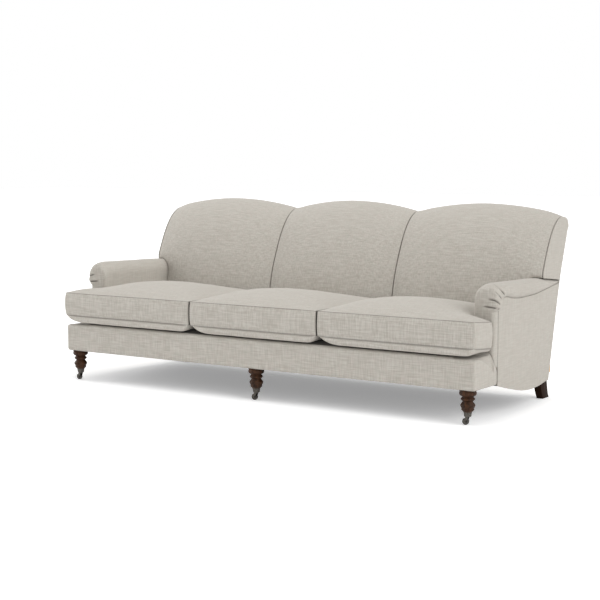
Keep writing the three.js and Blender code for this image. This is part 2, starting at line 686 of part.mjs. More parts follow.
// Line of the pull seams from the platform over the top to the outside back.
// Each place has shares of the depth, of the height and of the hump, and a share of how far up it swells.
const backPathShares = [
  [0, 0, 0.2, 0], [0.099, 0.286, 0.62, 0], [0.156, 0.438, 0.72, 0], [0.253, 0.601, 0.78, 0],
  [0.392, 0.784, 0.85, 0], [0.548, 0.918, 0.93, 0], [0.716, 0.991, 1, 0.2], [0.84, 1, 1, 1],
  [0.952, 0.982, 0.95, 1], [0.994, 0.938, 0.8, 1], [1, 0.888, humpArch / humpRise, 1]];
const lastPlace = backPathShares.length - 1;
const kneePlace = 2;
const pathPoint = (place) => new THREE.Vector2(
  mix(backSeatY, backTopY + webThickness, backPathShares[place][0]),
  mix(deckTop + fit, backValleyZ, backPathShares[place][1]));

// The outer edges ease back and down to the seam of the side border
const edgeEaseShares = [[1, 0], [1, 0], [1, 0], [1, 0], [0.8, 0.3], [0.5, 0.7], [0.1, 1], [0, 1], [0, 0.9],
  [0, 0.5], [0, 0]];
const edgeEase = (x, place) => {
  const near = clampShare((Math.abs(x) - sections[2].to + edgeReach) / edgeReach) ** 2;
  const [back, down] = edgeEaseShares[place];
  return new THREE.Vector2(edgeSetBack * back * near, -edgeDrop * down * near);
};

const backFace = (x, place) => {
  const here = pathPoint(place);
  const before = pathPoint(Math.max(0, place - 1));
  const after = pathPoint(Math.min(lastPlace, place + 1));
  const run = after.clone().sub(before).normalize();
  const [, , share, upward] = backPathShares[place];
  const swell = new THREE.Vector2(-run.y, run.x).lerp(new THREE.Vector2(0, 1), upward).normalize();
  if (place === 0) swell.set(-1, 0);
  const point = here.add(swell.multiplyScalar(humpRise * humpAt(x) * share)).add(edgeEase(x, place));
  return new THREE.Vector3(x, point.x, point.y);
};
const backCore = (x, place) => {
  const railTop = railTopAt(x);
  const behind = postBack(railTop) + fit;
  const end = backFace(x, lastPlace).z;
  const overRail = [
    [padBack(topRailBottom), topRailBottom],
    [padBack(railTop), railTop + fit],
    [(postFront(railTop) + postBack(railTop)) / 2, railTop + fit],
    [behind, railTop + fit],
    [behind, (railTop + end) / 2],
    [behind, end]];
  const low = lastPlace + 1 - overRail.length;
  const level = place === kneePlace ? backWaistZ : pathPoint(place).y;
  const [y, z] = place < low ? [padBack(level), level] : overRail[place - low];
  return new THREE.Vector3(x, y, z);
};

// Room that the roll of the arm takes out of the outer sections of the back
const armRoomPlaces = [armCrestMiddleY - cutOverrun, armCrestMiddleY, backWaistY, backTopY + cutOverrun];
const armRoom = (side) => loftBody(armRoomPlaces.map((y) => {
  const crest = armCrest(y) + armGapToBack;
  const innerX = armInnerX - armGapToBack;
  const outerX = backSideX + rollOverhang;
  const middleX = (innerX + outerX) / 2;
  const arc = quarterTurn(rollSteps).map((a) => [
    middleX - (middleX - innerX) * Math.cos(a) ** (2 / rollFullnessShare),
    crest - rollHeight * (1 - Math.sin(a) ** (2 / rollFullnessShare))]);
  const low = deckTop - cutOverrun;
  return [[innerX, low], ...arc, [outerX + cutOverrun, crest], [outerX + cutOverrun, low]]
    .map(([x, z]) => new THREE.Vector3(side * x, y, z));
}));

sections.forEach(({ name, from, to }) => {
  const xAt = (i) => mix(from + fit / 2, to - fit / 2, sectionShares[i]);
  const body = sheetBody(sectionShares.length - 1, lastPlace,
    (i, j) => backFace(xAt(i), j), (i, j) => backCore(xAt(i), j));
  const side = { left: -1, centre: 0, right: 1 }[name];
  addPiece(`back_section_${name}`, side === 0 ? body : cut(body, armRoom(side)), linen);
});

// Boxed side borders of the back, above the arms
const edgeLine = backPathShares.map((_, place) => pathPoint(place).add(edgeEase(backSideX, place)));
const borderStart = edgeLine.findIndex((point) => point.y > armCrestMiddle);
for (const [sideName, side] of sides) {
  const outline = edgeLine.slice(borderStart);
  const before = edgeLine[borderStart - 1].clone();
  const after = edgeLine[borderStart];
  const lowFront = before.lerp(after, (armCrestMiddle - before.y) / (after.y - before.y));
  const end = outline[outline.length - 1];
  const points = [[lowFront.x, lowFront.y], ...outline.map(({ x, y }) => [x, y]),
    [postBack(end.y), end.y], [postBack(backWaistZ + panelThickness), armCrestRear]];
  const planes = bothWays(side, backSideX - borderThickness, backSideX);
  addPiece(`back_border_${sideName}`, boardAlongX(points, ...planes), paleLinen);
}

// Outside back, up to the arched edge of the humps
const outsideBackPlaces = [-backSideX, ...backPlaces, backSideX];
const outsideBackPoint = (inward) => (i, j) => {
  const top = pathPoint(lastPlace).y - fit;
  const x = outsideBackPlaces[i];
  const levels = [panelBottomRear, (panelBottomRear + backWaistZ) / 2, backWaistZ, backShoulderZ,
    top + humpArch * humpAt(x)];
  const z = levels[j];
  return new THREE.Vector3(x * (outsideX(backFootY, z) / backSideX), rearLine(z) - inward, z);
};
addPiece('outside_back', sheetBody(outsideBackPlaces.length - 1, 4, outsideBackPoint(0),
  outsideBackPoint(panelThickness)), paleLinen);

// Dust cover under the frame, cut out round the rear legs
const dustPoint = (drop) => (i, j) => {
  const along = Math.max(0, i - 2) / sideRailSteps;
  const corner = i === 0 ? railCorner - paddingFront : 0;
  const [railY, railZ] = sideRailUnder(along);
  const y = [paddingFront + fit, railCorner][i] ?? railY - fit;
  const half = sideRailOuter(along) - fit - corner;
  return new THREE.Vector3(mix(-half, half, j), y, railZ - fit - drop);
};
addPiece('dust_cover', cut(sheetBody(sideRailSteps + 2, 1, dustPoint(0), dustPoint(dustThickness)),
  legRoom(-1), legRoom(1), ...boltPlaces.map(([, x]) => boltHole(x))), blackCloth);

// Rear legs, square and tapered, raked back with a slight sweep
for (const [sideName, side] of sides) {
  const point = (i, j, inner) => {
    const up = i / cornerSteps;
    const sweep = rearLegWaistPull * Math.sin(Math.PI * up ** rearLegWaistShare);
    const front = mix(rearLegFootFrontY, rearLegTopFrontY, up) - sweep / 2;
    const back = mix(rearLegFootBackY, rearLegTopBackY, up) - sweep;
    const width = inner * mix(rearLegFootWidth, rearLegTopWidth, up);
    return new THREE.Vector3(side * (rearLegOuterX - width), j === 0 ? front : back, up * rearLegTopZ);
  };
  const panelRoom = sideBlock(side, rearLegOuterX - cutOverrun - rearLegTopWidth, rearLegOuterX + fit,
    backFootY - panelThickness - fit, backTopY, panelBottomRear - fit, rearLegTopZ + cutOverrun);
  const leg = sheetBody(cornerSteps, 1, (i, j) => point(i, j, 0), (i, j) => point(i, j, 1));
  addPiece(`rear_leg_${sideName}`, cut(leg, panelRoom), walnut);
}

// Turned front legs: shares of the top radius and of the height over the cup
const legTurningShares = [[0.523, 0], [0.614, 0.095], [0.694, 0.15], [0.674, 0.175], [0.76, 0.235],
  [0.809, 0.315], [0.777, 0.395], [0.674, 0.465], [0.586, 0.52], [0.64, 0.565], [0.703, 0.62],
  [0.64, 0.672], [0.609, 0.71], [0.697, 0.765], [0.874, 0.825], [0.943, 0.885], [0.909, 0.945],
  [1, 0.965], [1, 1]];
const cupFloor = ferruleBottomZ + ferruleFloor;
const cupRadius = (z) => mix(ferruleBottomRadius, ferruleTopRadius,
  (z - ferruleBottomZ) / (ferruleTopZ - ferruleBottomZ)) - ferruleWall;
const legTopZ = railBottom - fit;
const spigotBottom = cupFloor + fit;
const stemBore = stemRadius + boreClearance;
const legProfile = [
  [0, stemTopZ + fit], [stemBore, stemTopZ + fit], [stemBore, spigotBottom],
  [cupRadius(spigotBottom) - fit, spigotBottom], [cupRadius(ferruleTopZ) - fit, ferruleTopZ + fit],
  ...legTurningShares.map(([r, h]) => [r * legTopRadius, mix(ferruleTopZ + fit, legTopZ, h)]),
  [boltBore, legTopZ], [boltBore, boltBottomZ - fit], [0, boltBottomZ - fit]];
const cupProfile = [
  [stemBore, ferruleBottomZ], [ferruleBottomRadius - ferruleWall / 2, ferruleBottomZ],
  [ferruleBottomRadius, ferruleBottomZ + ferruleWall], [ferruleTopRadius, ferruleTopZ],
  [ferruleTopRadius - ferruleWall, ferruleTopZ], [cupRadius(cupFloor), cupFloor], [stemBore, cupFloor],
  [stemBore, ferruleBottomZ]];

// Casters: a forked horn on a stem, an axle with riveted ends and a plain wheel that trails
const crownTop = ferruleBottomZ - hornTopGap;
const crownBottom = crownTop - forkThickness;
const crownRadius = wheelTrail - forkThickness / 2;
const cheekInner = wheelWidth / 2 + forkClearance;
const cheekOuter = cheekInner + forkThickness;
const eyeRadius = axleRadius + forkThickness;
const eyeStart = Math.PI / 6;
const cheekOutline = [[crownRadius / 2, crownTop], [crownRadius / 2, crownBottom - forkThickness],
  ...quarterTurn(cornerSteps).map((a) => eyeStart + 2 * a).map((a) => [
    -wheelTrail + eyeRadius * Math.cos(a), wheelRadius - eyeRadius * Math.sin(a)]),
  [-crownRadius, crownBottom], [-crownRadius, crownTop]];
const onAxle = (geometry) => geometry.rotateX(Math.PI / 2).translate(-wheelTrail, 0, wheelRadius);
const axleHole = onAxle(rod(axleRadius + boreClearance, -cutOverrun, cutOverrun, boreSteps));
const hornBody = () => {
  const plate = block(-crownRadius, crownRadius / 2, -cheekOuter, cheekOuter, crownBottom, crownTop);
  const cheeks = [[-cheekOuter, -cheekInner], [cheekInner, cheekOuter]]
    .map(([from, to]) => boardAlongY(cheekOutline, from, to));
  const stem = rod(stemRadius, crownTop - fit, stemTopZ, boreSteps);
  const joined = [plate, ...cheeks, stem].map(toSolid).reduce((whole, piece) => whole.add(piece));
  return toGeometry(joined.subtract(toSolid(axleHole)));
};
const axleEnd = cheekOuter + fit + axleHeadLength;
const axleProfile = [[0, -axleEnd], [axleHead, -axleEnd], [axleHead, -axleEnd + axleHeadLength],
  [axleRadius, -axleEnd + axleHeadLength], [axleRadius, axleEnd - axleHeadLength],
  [axleHead, axleEnd - axleHeadLength], [axleHead, axleEnd], [0, axleEnd]];
const treadRadius = wheelRadius / Math.cos(Math.PI / wheelSteps);
const wheelBore = axleRadius + boreClearance;
const wheelProfile = [[wheelBore, -wheelWidth / 2], [treadRadius - treadEdge, -wheelWidth / 2],
  [treadRadius, treadEdge - wheelWidth / 2], [treadRadius, wheelWidth / 2 - treadEdge],
  [treadRadius - treadEdge, wheelWidth / 2], [wheelBore, wheelWidth / 2], [wheelBore, -wheelWidth / 2]];
boltPlaces.forEach(([name, x]) => {
  const atLeg = (geometry) => geometry.translate(x, frontLegY, 0);
  addPiece(`front_leg_${name}`, atLeg(turned(legProfile, roundSteps)), walnut);
  addPiece(`leg_bolt_${name}`, atLeg(rod(boltRadius, boltBottomZ, boltTopZ, boreSteps)), steel);
  addPiece(`ferrule_${name}`, atLeg(turned(cupProfile, roundSteps)), agedBrass);
  addPiece(`caster_horn_${name}`, atLeg(hornBody()), agedBrass);
  addPiece(`caster_axle_${name}`, atLeg(onAxle(turned(axleProfile, boreSteps))), steel);
  const wheel = turned(wheelProfile, wheelSteps).rotateZ(Math.PI / wheelSteps);
  addPiece(`caster_wheel_${name}`, atLeg(onAxle(wheel)), darkMetal);
});

// Plain folded tab sewn into the right rear seam
const tabTop = tabBottomZ + tabHeight;
const tabX = outsideX(backFootY, tabTop) - panelThickness;
addPiece('seam_tab', boardAlongX([
  [rearLine(tabBottomZ) + fit, tabBottomZ], [rearLine(tabBottomZ) + tabLength, tabBottomZ],
  [rearLine(tabTop) + tabLength, tabTop], [rearLine(tabTop) + fit, tabTop]],
tabX - tabThickness, tabX), tanTape);

// Seat cushions: two cloth panels blown out between their seams, round a boxed border.
// The height of the crown is that of a skin under even pressure, held down along the seams.
const blownShares = (xs, ys, filled, earFrom) => {
  const isInside = (i, j) => [[0, 0], [-1, 0], [0, -1], [-1, -1]].every(([di, dj]) => {
    const [a, b] = [i + di, j + dj];
    return a >= 0 && b >= 0 && a < xs.length - 1 && b < ys.length - 1 && filled(a, b);
  });
  const heights = xs.map(() => ys.map(() => 0));
  for (let round = 0; round < crownRounds; round += 1) {
    for (let i = 1; i < xs.length - 1; i += 1) {
      for (let j = 1; j < ys.length - 1; j += 1) {
        if (!isInside(i, j)) continue;
        const [west, east] = [xs[i] - xs[i - 1], xs[i + 1] - xs[i]];
        const [south, north] = [ys[j] - ys[j - 1], ys[j + 1] - ys[j]];
        const wide = (west + east) / 2;
        const deep = (south + north) / 2;
        const pulls = deep * (heights[i - 1][j] / west + heights[i + 1][j] / east)
          + wide * (heights[i][j - 1] / south + heights[i][j + 1] / north);
        const push = wide * deep * (xs[i] > earFrom ? earPressureShare : 1);
        heights[i][j] = (pulls + push) / (deep * (1 / west + 1 / east) + wide * (1 / south + 1 / north));
      }
    }
  }
  const highest = Math.max(...heights.flat());
  return heights.map((line) => line.map((height) => (height / highest) ** crownFullnessShare));
};

const spread = (from, to, shares) => shares.map((share) => mix(from, to, share));
const earAcrossShares = [0.35, 0.7, 1];
const earDeepShares = [0, 0.12, 0.5, 0.88, 1];
const seatDeepShares = [0.15, 0.35, 0.58, 0.8, 0.93, 1];
const acrossShares = [0, 0.03, 0.1, 0.22, 0.36, 0.5, 0.64, 0.78, 0.9, 0.97, 1];
const cushionSpans = [
  { name: 'left', side: -1, from: pullSeamX + cushionGap / 2, to: armInnerX - cushionArmGap, ear: true },
  { name: 'centre', side: 1, from: cushionGap / 2 - pullSeamX, to: pullSeamX - cushionGap / 2, ear: false },
  { name: 'right', side: 1, from: pullSeamX + cushionGap / 2, to: armInnerX - cushionArmGap, ear: true },
];
cushionSpans.forEach(({ name, side, from, to, ear }) => {
  const xs = spread(from, to, acrossShares);
  if (ear) xs.push(...spread(to, earSideX, earAcrossShares));
  const ys = [...spread(cushionFrontY, earBackY, earDeepShares),
    ...spread(earBackY, cushionBackY, seatDeepShares)];
  const filled = (i, j) => i < acrossShares.length - 1 || ys[j] < earBackY;
  const crown = blownShares(xs, ys, filled, ear ? to : Infinity);
  const rounded = (i, j) => {
    const outerX = ys[j] <= earBackY ? xs[xs.length - 1] : xs[acrossShares.length - 1];
    const centreX = clampBetween(xs[i], from + cushionCorner / 2, outerX - cushionCorner);
    const rearLimit = xs[i] > to ? earBackY : cushionBackY;
    const centreY = clampBetween(ys[j], cushionFrontY + cushionCorner, rearLimit - cushionCorner / 2);
    const [dx, dy] = [xs[i] - centreX, ys[j] - centreY];
    const long = Math.hypot(dx, dy);
    const keep = dx === 0 || dy === 0 ? 1 : Math.max(Math.abs(dx), Math.abs(dy)) / long;
    return [centreX + dx * keep, centreY + dy * keep];
  };
  const droop = (i, j) => earDroop * clampShare((xs[i] - to) / (earSideX - to))
    * clampShare((ys[j] - cushionFrontY) / (earBackY - cushionFrontY));
  const place = (i, j, z) => new THREE.Vector3(side * rounded(i, j)[0], rounded(i, j)[1], z);
  const top = (i, j) => place(i, j, seamTopZ - droop(i, j) + crownRise * crown[i][j]);
  const under = (i, j) => place(i, j, mix(seamBottomZ - droop(i, j), deckTop + fit,
    clampShare(crown[i][j] / flatFromShare)));
  const wall = (i, j, share, out) => {
    const bulge = borderBulge * Math.sin(Math.PI * share);
    const facesNeighbour = out.x < 0 || (out.x > 0 && (!ear || ys[j] > earBackY));
    const point = place(i, j, mix(seamTopZ, seamBottomZ, share) - droop(i, j));
    point.x += facesNeighbour ? 0 : side * Math.sign(out.x) * bulge;
    point.y += Math.sign(out.y) * bulge * (out.y > 0 && xs[i] >= to ? 0 : 1);
    return point;
  };
  const body = sheetBody(xs.length - 1, ys.length - 1, top, under, filled, cushionWallSteps, wall);
  addPiece(`seat_cushion_${name}`, body, linen);
});

// The origin lies on the floor under the middle of the sofa
const extent = new THREE.Box3().setFromObject(sofa);
sofa.children.forEach((piece) => piece.geometry.translate(0, -(extent.min.y + extent.max.y) / 2, 0));

export default sofa;
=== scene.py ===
import json
import math

import bpy
import numpy as np
from mathutils import Matrix, Vector, noise

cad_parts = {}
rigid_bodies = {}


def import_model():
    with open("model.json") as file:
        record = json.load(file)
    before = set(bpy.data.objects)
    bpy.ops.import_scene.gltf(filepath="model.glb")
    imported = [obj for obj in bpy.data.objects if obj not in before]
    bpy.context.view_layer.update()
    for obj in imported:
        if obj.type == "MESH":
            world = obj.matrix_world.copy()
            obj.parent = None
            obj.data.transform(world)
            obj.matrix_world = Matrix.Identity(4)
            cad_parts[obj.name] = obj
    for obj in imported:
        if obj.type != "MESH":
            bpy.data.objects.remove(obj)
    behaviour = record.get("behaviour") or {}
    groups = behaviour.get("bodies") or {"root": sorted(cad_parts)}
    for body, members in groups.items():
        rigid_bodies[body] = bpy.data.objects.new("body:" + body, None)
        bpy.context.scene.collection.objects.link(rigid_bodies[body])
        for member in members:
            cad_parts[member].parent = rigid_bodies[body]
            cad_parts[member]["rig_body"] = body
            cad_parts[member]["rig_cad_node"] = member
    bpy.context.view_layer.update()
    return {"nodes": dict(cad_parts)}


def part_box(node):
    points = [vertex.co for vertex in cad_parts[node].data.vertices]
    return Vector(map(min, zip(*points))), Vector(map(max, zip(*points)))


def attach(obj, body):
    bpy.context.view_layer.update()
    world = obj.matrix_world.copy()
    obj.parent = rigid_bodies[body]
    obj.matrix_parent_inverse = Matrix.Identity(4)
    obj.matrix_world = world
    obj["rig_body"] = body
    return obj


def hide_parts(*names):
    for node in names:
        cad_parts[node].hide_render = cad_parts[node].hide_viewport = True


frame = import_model()


# Seat and back frame
# Planed beech boards, dowelled and glued into the seat box, the back and the two arms.
# They are sealed inside the covers, so they keep their own solids and only get the wood.
def linear(hex_colour):
    """An sRGB hex colour as the linear values that a shader takes."""
    parts = [int(hex_colour[i:i + 2], 16) / 255 for i in (1, 3, 5)]
    return [c / 12.92 if c <= 0.04045 else ((c + 0.055) / 1.055) ** 2.4 for c in parts] + [1.0]


def feed(node, sockets):
    """Gives a node's sockets values, or links them to an output or to a node's first output."""
    for name, source in sockets.items():
        if isinstance(source, bpy.types.Node):
            source = source.outputs[0]
        if isinstance(source, bpy.types.NodeSocket):
            node.id_data.links.new(source, node.inputs[name])
        else:
            node.inputs[name].default_value = source


def add_node(tree, kind, sockets=None, stops=(), **settings):
    """One shader node with its settings, what feeds it, and any colour stops as (place, colour)."""
    node = tree.nodes.new("ShaderNode" + kind)
    for name, value in settings.items():
        setattr(node, name, value)
    feed(node, sockets or {})
    for k, (position, colour) in enumerate(stops):
        elements = node.color_ramp.elements
        stop = elements[k] if k < 2 else elements.new(position)
        stop.position, stop.color = position, linear(colour)
    return node


def new_finish(name):
    """A new material with its node tree, its surface shader and the object coordinates."""
    material = bpy.data.materials.new(name)
    material.use_nodes = True
    tree = material.node_tree
    tree.nodes.clear()
    shader = add_node(tree, "BsdfPrincipled")
    add_node(tree, "OutputMaterial", {"Surface": shader})
    return material, tree, shader, add_node(tree, "TexCoord").outputs["Object"]


def coat(piece, material):
    """Gives a piece this material alone."""
    piece.data.materials.clear()
    piece.data.materials.append(material)


# Beech, planed and left raw: short flecks and a faint grain about 6 mm apart
planed_beech, tree, shader, place = new_finish("planed_beech")
stretched = add_node(tree, "Mapping", {"Vector": place, "Scale": (12, 160, 60)})
grain = add_node(tree, "TexNoise", {"Vector": stretched, "Scale": 1.0, "Detail": 4.0})
tone = add_node(tree, "ValToRGB", {"Fac": grain}, [(0.3, "#b8925f"), (0.7, "#d6b88a")])
feed(shader, {"Base Color": tone, "Roughness": 0.62})
paired_boards = ("side_rail", "seat_stretcher", "corner_block_front", "corner_block_rear", "back_post",
                 "back_upright", "arm_post", "arm_rail")
for name in ["front_rail", "back_rail", "back_lower_rail", "back_top_rail"] + [
        f"{part}_{side}" for side in ("left", "right") for part in paired_boards]:
    coat(frame["nodes"][name], planed_beech)

# Rubberised webbing: dark straps with a ribbed face, 4 mm to a rib
rubber_webbing, tree, shader, place = new_finish("rubber_webbing")
ribs = add_node(tree, "TexWave", {"Vector": place, "Scale": 80.0, "Distortion": 0.4}, bands_direction="X")
tone = add_node(tree, "ValToRGB", {"Fac": ribs.outputs["Fac"]}, [(0, "#2e2e31"), (1, "#46464a")])
feed(shader, {"Base Color": tone, "Roughness": 0.8})
for name in ("seat_webbing", "back_webbing"):
    coat(frame["nodes"][name], rubber_webbing)


# Front legs
# Three legs turned from walnut on a lathe: two rings, a long swelling and a neck that goes
# into the metal cup. Each is bolted up through the front rail.
leg_places = {"left": -1.09, "centre": 0.0, "right": 1.09}
leg_depth = -0.442
leg_top, cup_top = 0.1487, 0.057


def pick(piece):
    """Selects one piece alone and makes it the active one."""
    bpy.ops.object.select_all(action="DESELECT")
    piece.select_set(True)
    bpy.context.view_layer.objects.active = piece


def edit_all(piece, step, **settings):
    """Takes one step in edit mode on all of a piece's mesh."""
    pick(piece)
    bpy.ops.object.mode_set(mode="EDIT")
    bpy.ops.mesh.select_all(action="SELECT")
    step(**settings)
    bpy.ops.object.mode_set(mode="OBJECT")


def turn(name, profile):
    """A piece off the lathe: a disc is drawn up and made wider or narrower at each height."""
    bpy.ops.object.select_all(action="DESELECT")
    (radius, height), *rest = profile
    bpy.ops.mesh.primitive_circle_add(vertices=48, radius=radius, fill_type="NGON", location=(0, 0, height))
    piece = bpy.context.object
    piece.name = piece.data.name = name
    bpy.ops.object.transform_apply(location=True, rotation=True, scale=True)
    bpy.ops.object.mode_set(mode="EDIT")
    bpy.ops.mesh.select_all(action="SELECT")
    for next_radius, next_height in rest:
        grow = next_radius / radius
        bpy.ops.mesh.extrude_region_move(TRANSFORM_OT_translate={"value": (0, 0, next_height - height)})
        bpy.ops.transform.resize(value=(grow, grow, 1), center_override=(0, 0, next_height))
        radius, height = next_radius, next_height
    bpy.ops.object.mode_set(mode="OBJECT")
    edit_all(piece, bpy.ops.mesh.normals_make_consistent, inside=False)
    bpy.ops.object.shade_smooth_by_angle(angle=math.radians(35))
    return piece


def copy_to(piece, name, offset=(0, 0, 0)):
    """A copy with its own mesh, moved to its place."""
    other = piece.copy()
    other.data = piece.data.copy()
    other.name = other.data.name = name
    bpy.context.scene.collection.objects.link(other)
    other.data.transform(Matrix.Translation(offset))
    return other


def curve_through(points, value):
    """Height at a place on a smooth line through points of (place, height)."""
    last = len(points) - 1
    if value <= points[0][0]:
        return points[0][1]
    if value >= points[last][0]:
        return points[last][1]
    k = max(i for i, point in enumerate(points[:-1]) if point[0] <= value)

    def slope(i):
        low, high = points[max(0, i - 1)], points[min(last, i + 1)]
        return (high[1] - low[1]) / (high[0] - low[0])
    (x0, y0), (x1, y1) = points[k], points[k + 1]
    t, width = (value - x0) / (x1 - x0), x1 - x0
    return ((2 * t ** 3 - 3 * t ** 2 + 1) * y0 + (t ** 3 - 2 * t ** 2 + t) * width * slope(k)
            + (3 * t ** 2 - 2 * t ** 3) * y1 + (t ** 3 - t ** 2) * width * slope(k + 1))


def claim(piece, body, node):
    """Puts a piece on the body it rides and hides the solid it stands for."""
    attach(piece, body)
    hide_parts(node)


def walnut(name, dark, light, shine, lacquer):
    """Walnut stained dark: fine pores along the leg, under a thin satin lacquer."""
    material, tree, shader, place = new_finish(name)
    fine = add_node(tree, "Mapping", {"Vector": place, "Scale": (330, 330, 26)})
    pores = add_node(tree, "TexNoise", {"Vector": fine, "Scale": 1.0, "Detail": 5.0, "Roughness": 0.65})
    broad = add_node(tree, "Mapping", {"Vector": place, "Scale": (60, 60, 9)})
    figure = add_node(tree, "TexNoise", {"Vector": broad, "Scale": 1.0, "Detail": 2.0, "Distortion": 0.6})
    both = add_node(tree, "Math", {0: pores, 1: figure}, operation="ADD")
    half = add_node(tree, "Math", {0: both, 1: 0.5}, operation="MULTIPLY")
    tone = add_node(tree, "ValToRGB", {"Fac": half}, [(0.36, dark), (0.64, light)])
    bump = add_node(tree, "Bump", {"Height": pores, "Strength": 0.25, "Distance": 0.0004})
    feed(shader, {"Base Color": tone, "Normal": bump, "Roughness": 0.5, "Specular IOR Level": shine,
                  "Coat Weight": lacquer, "Coat Roughness": 0.3})
    return material


# The turning from the cup to the rail, as shares of its length and of its radius
turning_radius, cup_gap, turning_steps = 0.035, 0.0003, 84
turning_shares = [
    (0.0, 0.57), (0.03, 0.64), (0.06, 0.72), (0.085, 0.775), (0.11, 0.785), (0.14, 0.76), (0.17, 0.77),
    (0.205, 0.82), (0.25, 0.885), (0.286, 0.91), (0.32, 0.9), (0.36, 0.845), (0.41, 0.745), (0.45, 0.665),
    (0.475, 0.635), (0.495, 0.65), (0.53, 0.78), (0.56, 0.85), (0.59, 0.87), (0.62, 0.84), (0.655, 0.745),
    (0.68, 0.695), (0.7, 0.69), (0.72, 0.75), (0.755, 0.93), (0.8, 1.02), (0.857, 1.055), (0.91, 1.04),
    (0.935, 1.0), (0.948, 0.98), (0.96, 1.02), (1.0, 1.03)]
neck_radius, neck_bottom = 0.0155, cup_top - 0.003
profile = [(neck_radius, neck_bottom)]
for step in range(turning_steps + 1):
    share = step / turning_steps
    height = cup_top + cup_gap + (leg_top - cup_top - cup_gap) * share
    profile.append((turning_radius * curve_through(turning_shares, share), height))
turned_leg = turn("turned_leg", profile)
coat(turned_leg, walnut("stained_walnut", "#1c0f08", "#4b301e", 0.14, 0.03))
for side, x in leg_places.items():
    leg = copy_to(turned_leg, f"turned_leg_{side}", (x, leg_depth, 0))
    claim(leg, "frame", f"front_leg_{side}")
bpy.data.objects.remove(turned_leg)


# Cups and casters
# A tapered brass cup holds the foot of each leg. A stem turns in it and carries a forked horn,
# an axle with riveted ends and a small plain wheel that trails. All are plated a dark bronze.
def metal(name, per_metre, stops, smoothest, roughest):
    """Worn metal, clouded at so many blotches to a metre."""
    material, tree, shader, place = new_finish(name)
    cloud = add_node(tree, "TexNoise", {"Vector": place, "Scale": per_metre, "Detail": 3.0})
    tone = add_node(tree, "ValToRGB", {"Fac": cloud}, stops)
    rough = add_node(tree, "MapRange", {"Value": cloud, "To Min": smoothest, "To Max": roughest})
    feed(shader, {"Base Color": tone, "Roughness": rough, "Metallic": 1.0})
    return material


aged_bronze = metal("aged_bronze_plate", 190.0, [(0.35, "#45423e"), (0.7, "#67635e")], 0.3, 0.46)
# The wheel's rim is polished where it has rolled
polished_wheel = metal("polished_dark_wheel", 260.0, [(0.3, "#33312f"), (0.75, "#6a6662")], 0.2, 0.2)

# Radius of the cup at heights above its bottom, up the outside and over its lip
cup_bottom = 0.037
cup_profile = [(0.0044, 0.001), (0.0146, 0), (0.0152, 0.0006), (0.0156, 0.002), (0.0155, 0.0028),
               (0.0158, 0.0036), (0.0177, 0.016), (0.0181, 0.0168), (0.0183, 0.0188), (0.018, 0.0197),
               (0.0172, 0.02), (0.0164, 0.02), (0.0162, 0.016)]
cup = turn("metal_cup", [(radius, cup_bottom + up) for radius, up in cup_profile])
coat(cup, aged_bronze)
# Half thickness of the wheel at radii from its hub to its tread
wheel_radius, wheel_trail = 0.015, 0.009
wheel_profile = [(0.0052, 0.0068), (0.0066, 0.0065), (0.0072, 0.0056), (0.0106, 0.0056), (0.0113, 0.0065),
                 (0.0133, 0.0064), (0.0146, 0.0053), (wheel_radius, 0.0035)]
wheel = turn("plain_wheel", [(radius, -half) for radius, half in wheel_profile] + wheel_profile[::-1])
coat(wheel, polished_wheel)
wheel.data.transform(Matrix.Rotation(math.radians(90), 4, "X"))
for side, x in leg_places.items():
    claim(copy_to(cup, f"metal_cup_{side}", (x, leg_depth, 0)), "frame", f"ferrule_{side}")
    claim(copy_to(wheel, f"plain_wheel_{side}", (x - wheel_trail, leg_depth, wheel_radius)), f"wheel_{side}",
          f"caster_wheel_{side}")
    for part in ("caster_horn", "caster_axle", "leg_bolt"):
        coat(frame["nodes"][f"{part}_{side}"], aged_bronze)
bpy.data.objects.remove(cup)
bpy.data.objects.remove(wheel)


# Rear legs
# Two square tapered legs of the same walnut, sawn with a slight sweep and raked backwards.
# They are screwed behind the side rails and their arrises are eased; their walnut is drawn darker than the front
# legs' as painted shade.
def apply_modifier(piece, kind, **settings):
    """Adds one modifier with its settings and applies it."""
    pick(piece)
    modifier = piece.modifiers.new("step", kind)
    for name, value in settings.items():
        setattr(modifier, name, value)
    bpy.ops.object.modifier_apply(modifier="step")


def loose_copy(node, name):
    """A copy of a solid of the frame, free of its body and merged into one skin."""
    piece = copy_to(frame["nodes"][node], name)
    piece.parent = None
    piece.hide_render = piece.hide_viewport = False
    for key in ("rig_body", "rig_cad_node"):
        if key in piece:
            del piece[key]
    edit_all(piece, bpy.ops.mesh.remove_doubles, threshold=0.00005)
    return piece


# The rear legs' walnut is darker than the front legs': painted shade
shaded_walnut = walnut("stained_walnut_deep", "#150c07", "#301d13", 0.04, 0.0)
for side in ("left", "right"):
    leg = loose_copy(f"rear_leg_{side}", f"raked_leg_{side}")
    edit_all(leg, bpy.ops.mesh.dissolve_limited, angle_limit=math.radians(2))
    apply_modifier(leg, "BEVEL", width=0.0016, segments=3, limit_method="ANGLE", angle_limit=math.radians(50))
    bpy.ops.object.shade_smooth_by_angle(angle=math.radians(30))
    coat(leg, shaded_walnut)
    claim(leg, "frame", f"rear_leg_{side}")


# Linen of the covers
# Plain woven linen mix in light greige, the same cloth on every cover: thick and thin yarns
# (slubs) run both ways, and the yarns vary from a pinkish to a greenish grey.
# A slub is about 1 mm thick in the real cloth and is drawn 3 to 4 mm thick so that it shows.
woven_linen, tree, shader, place = new_finish("woven_linen_greige")
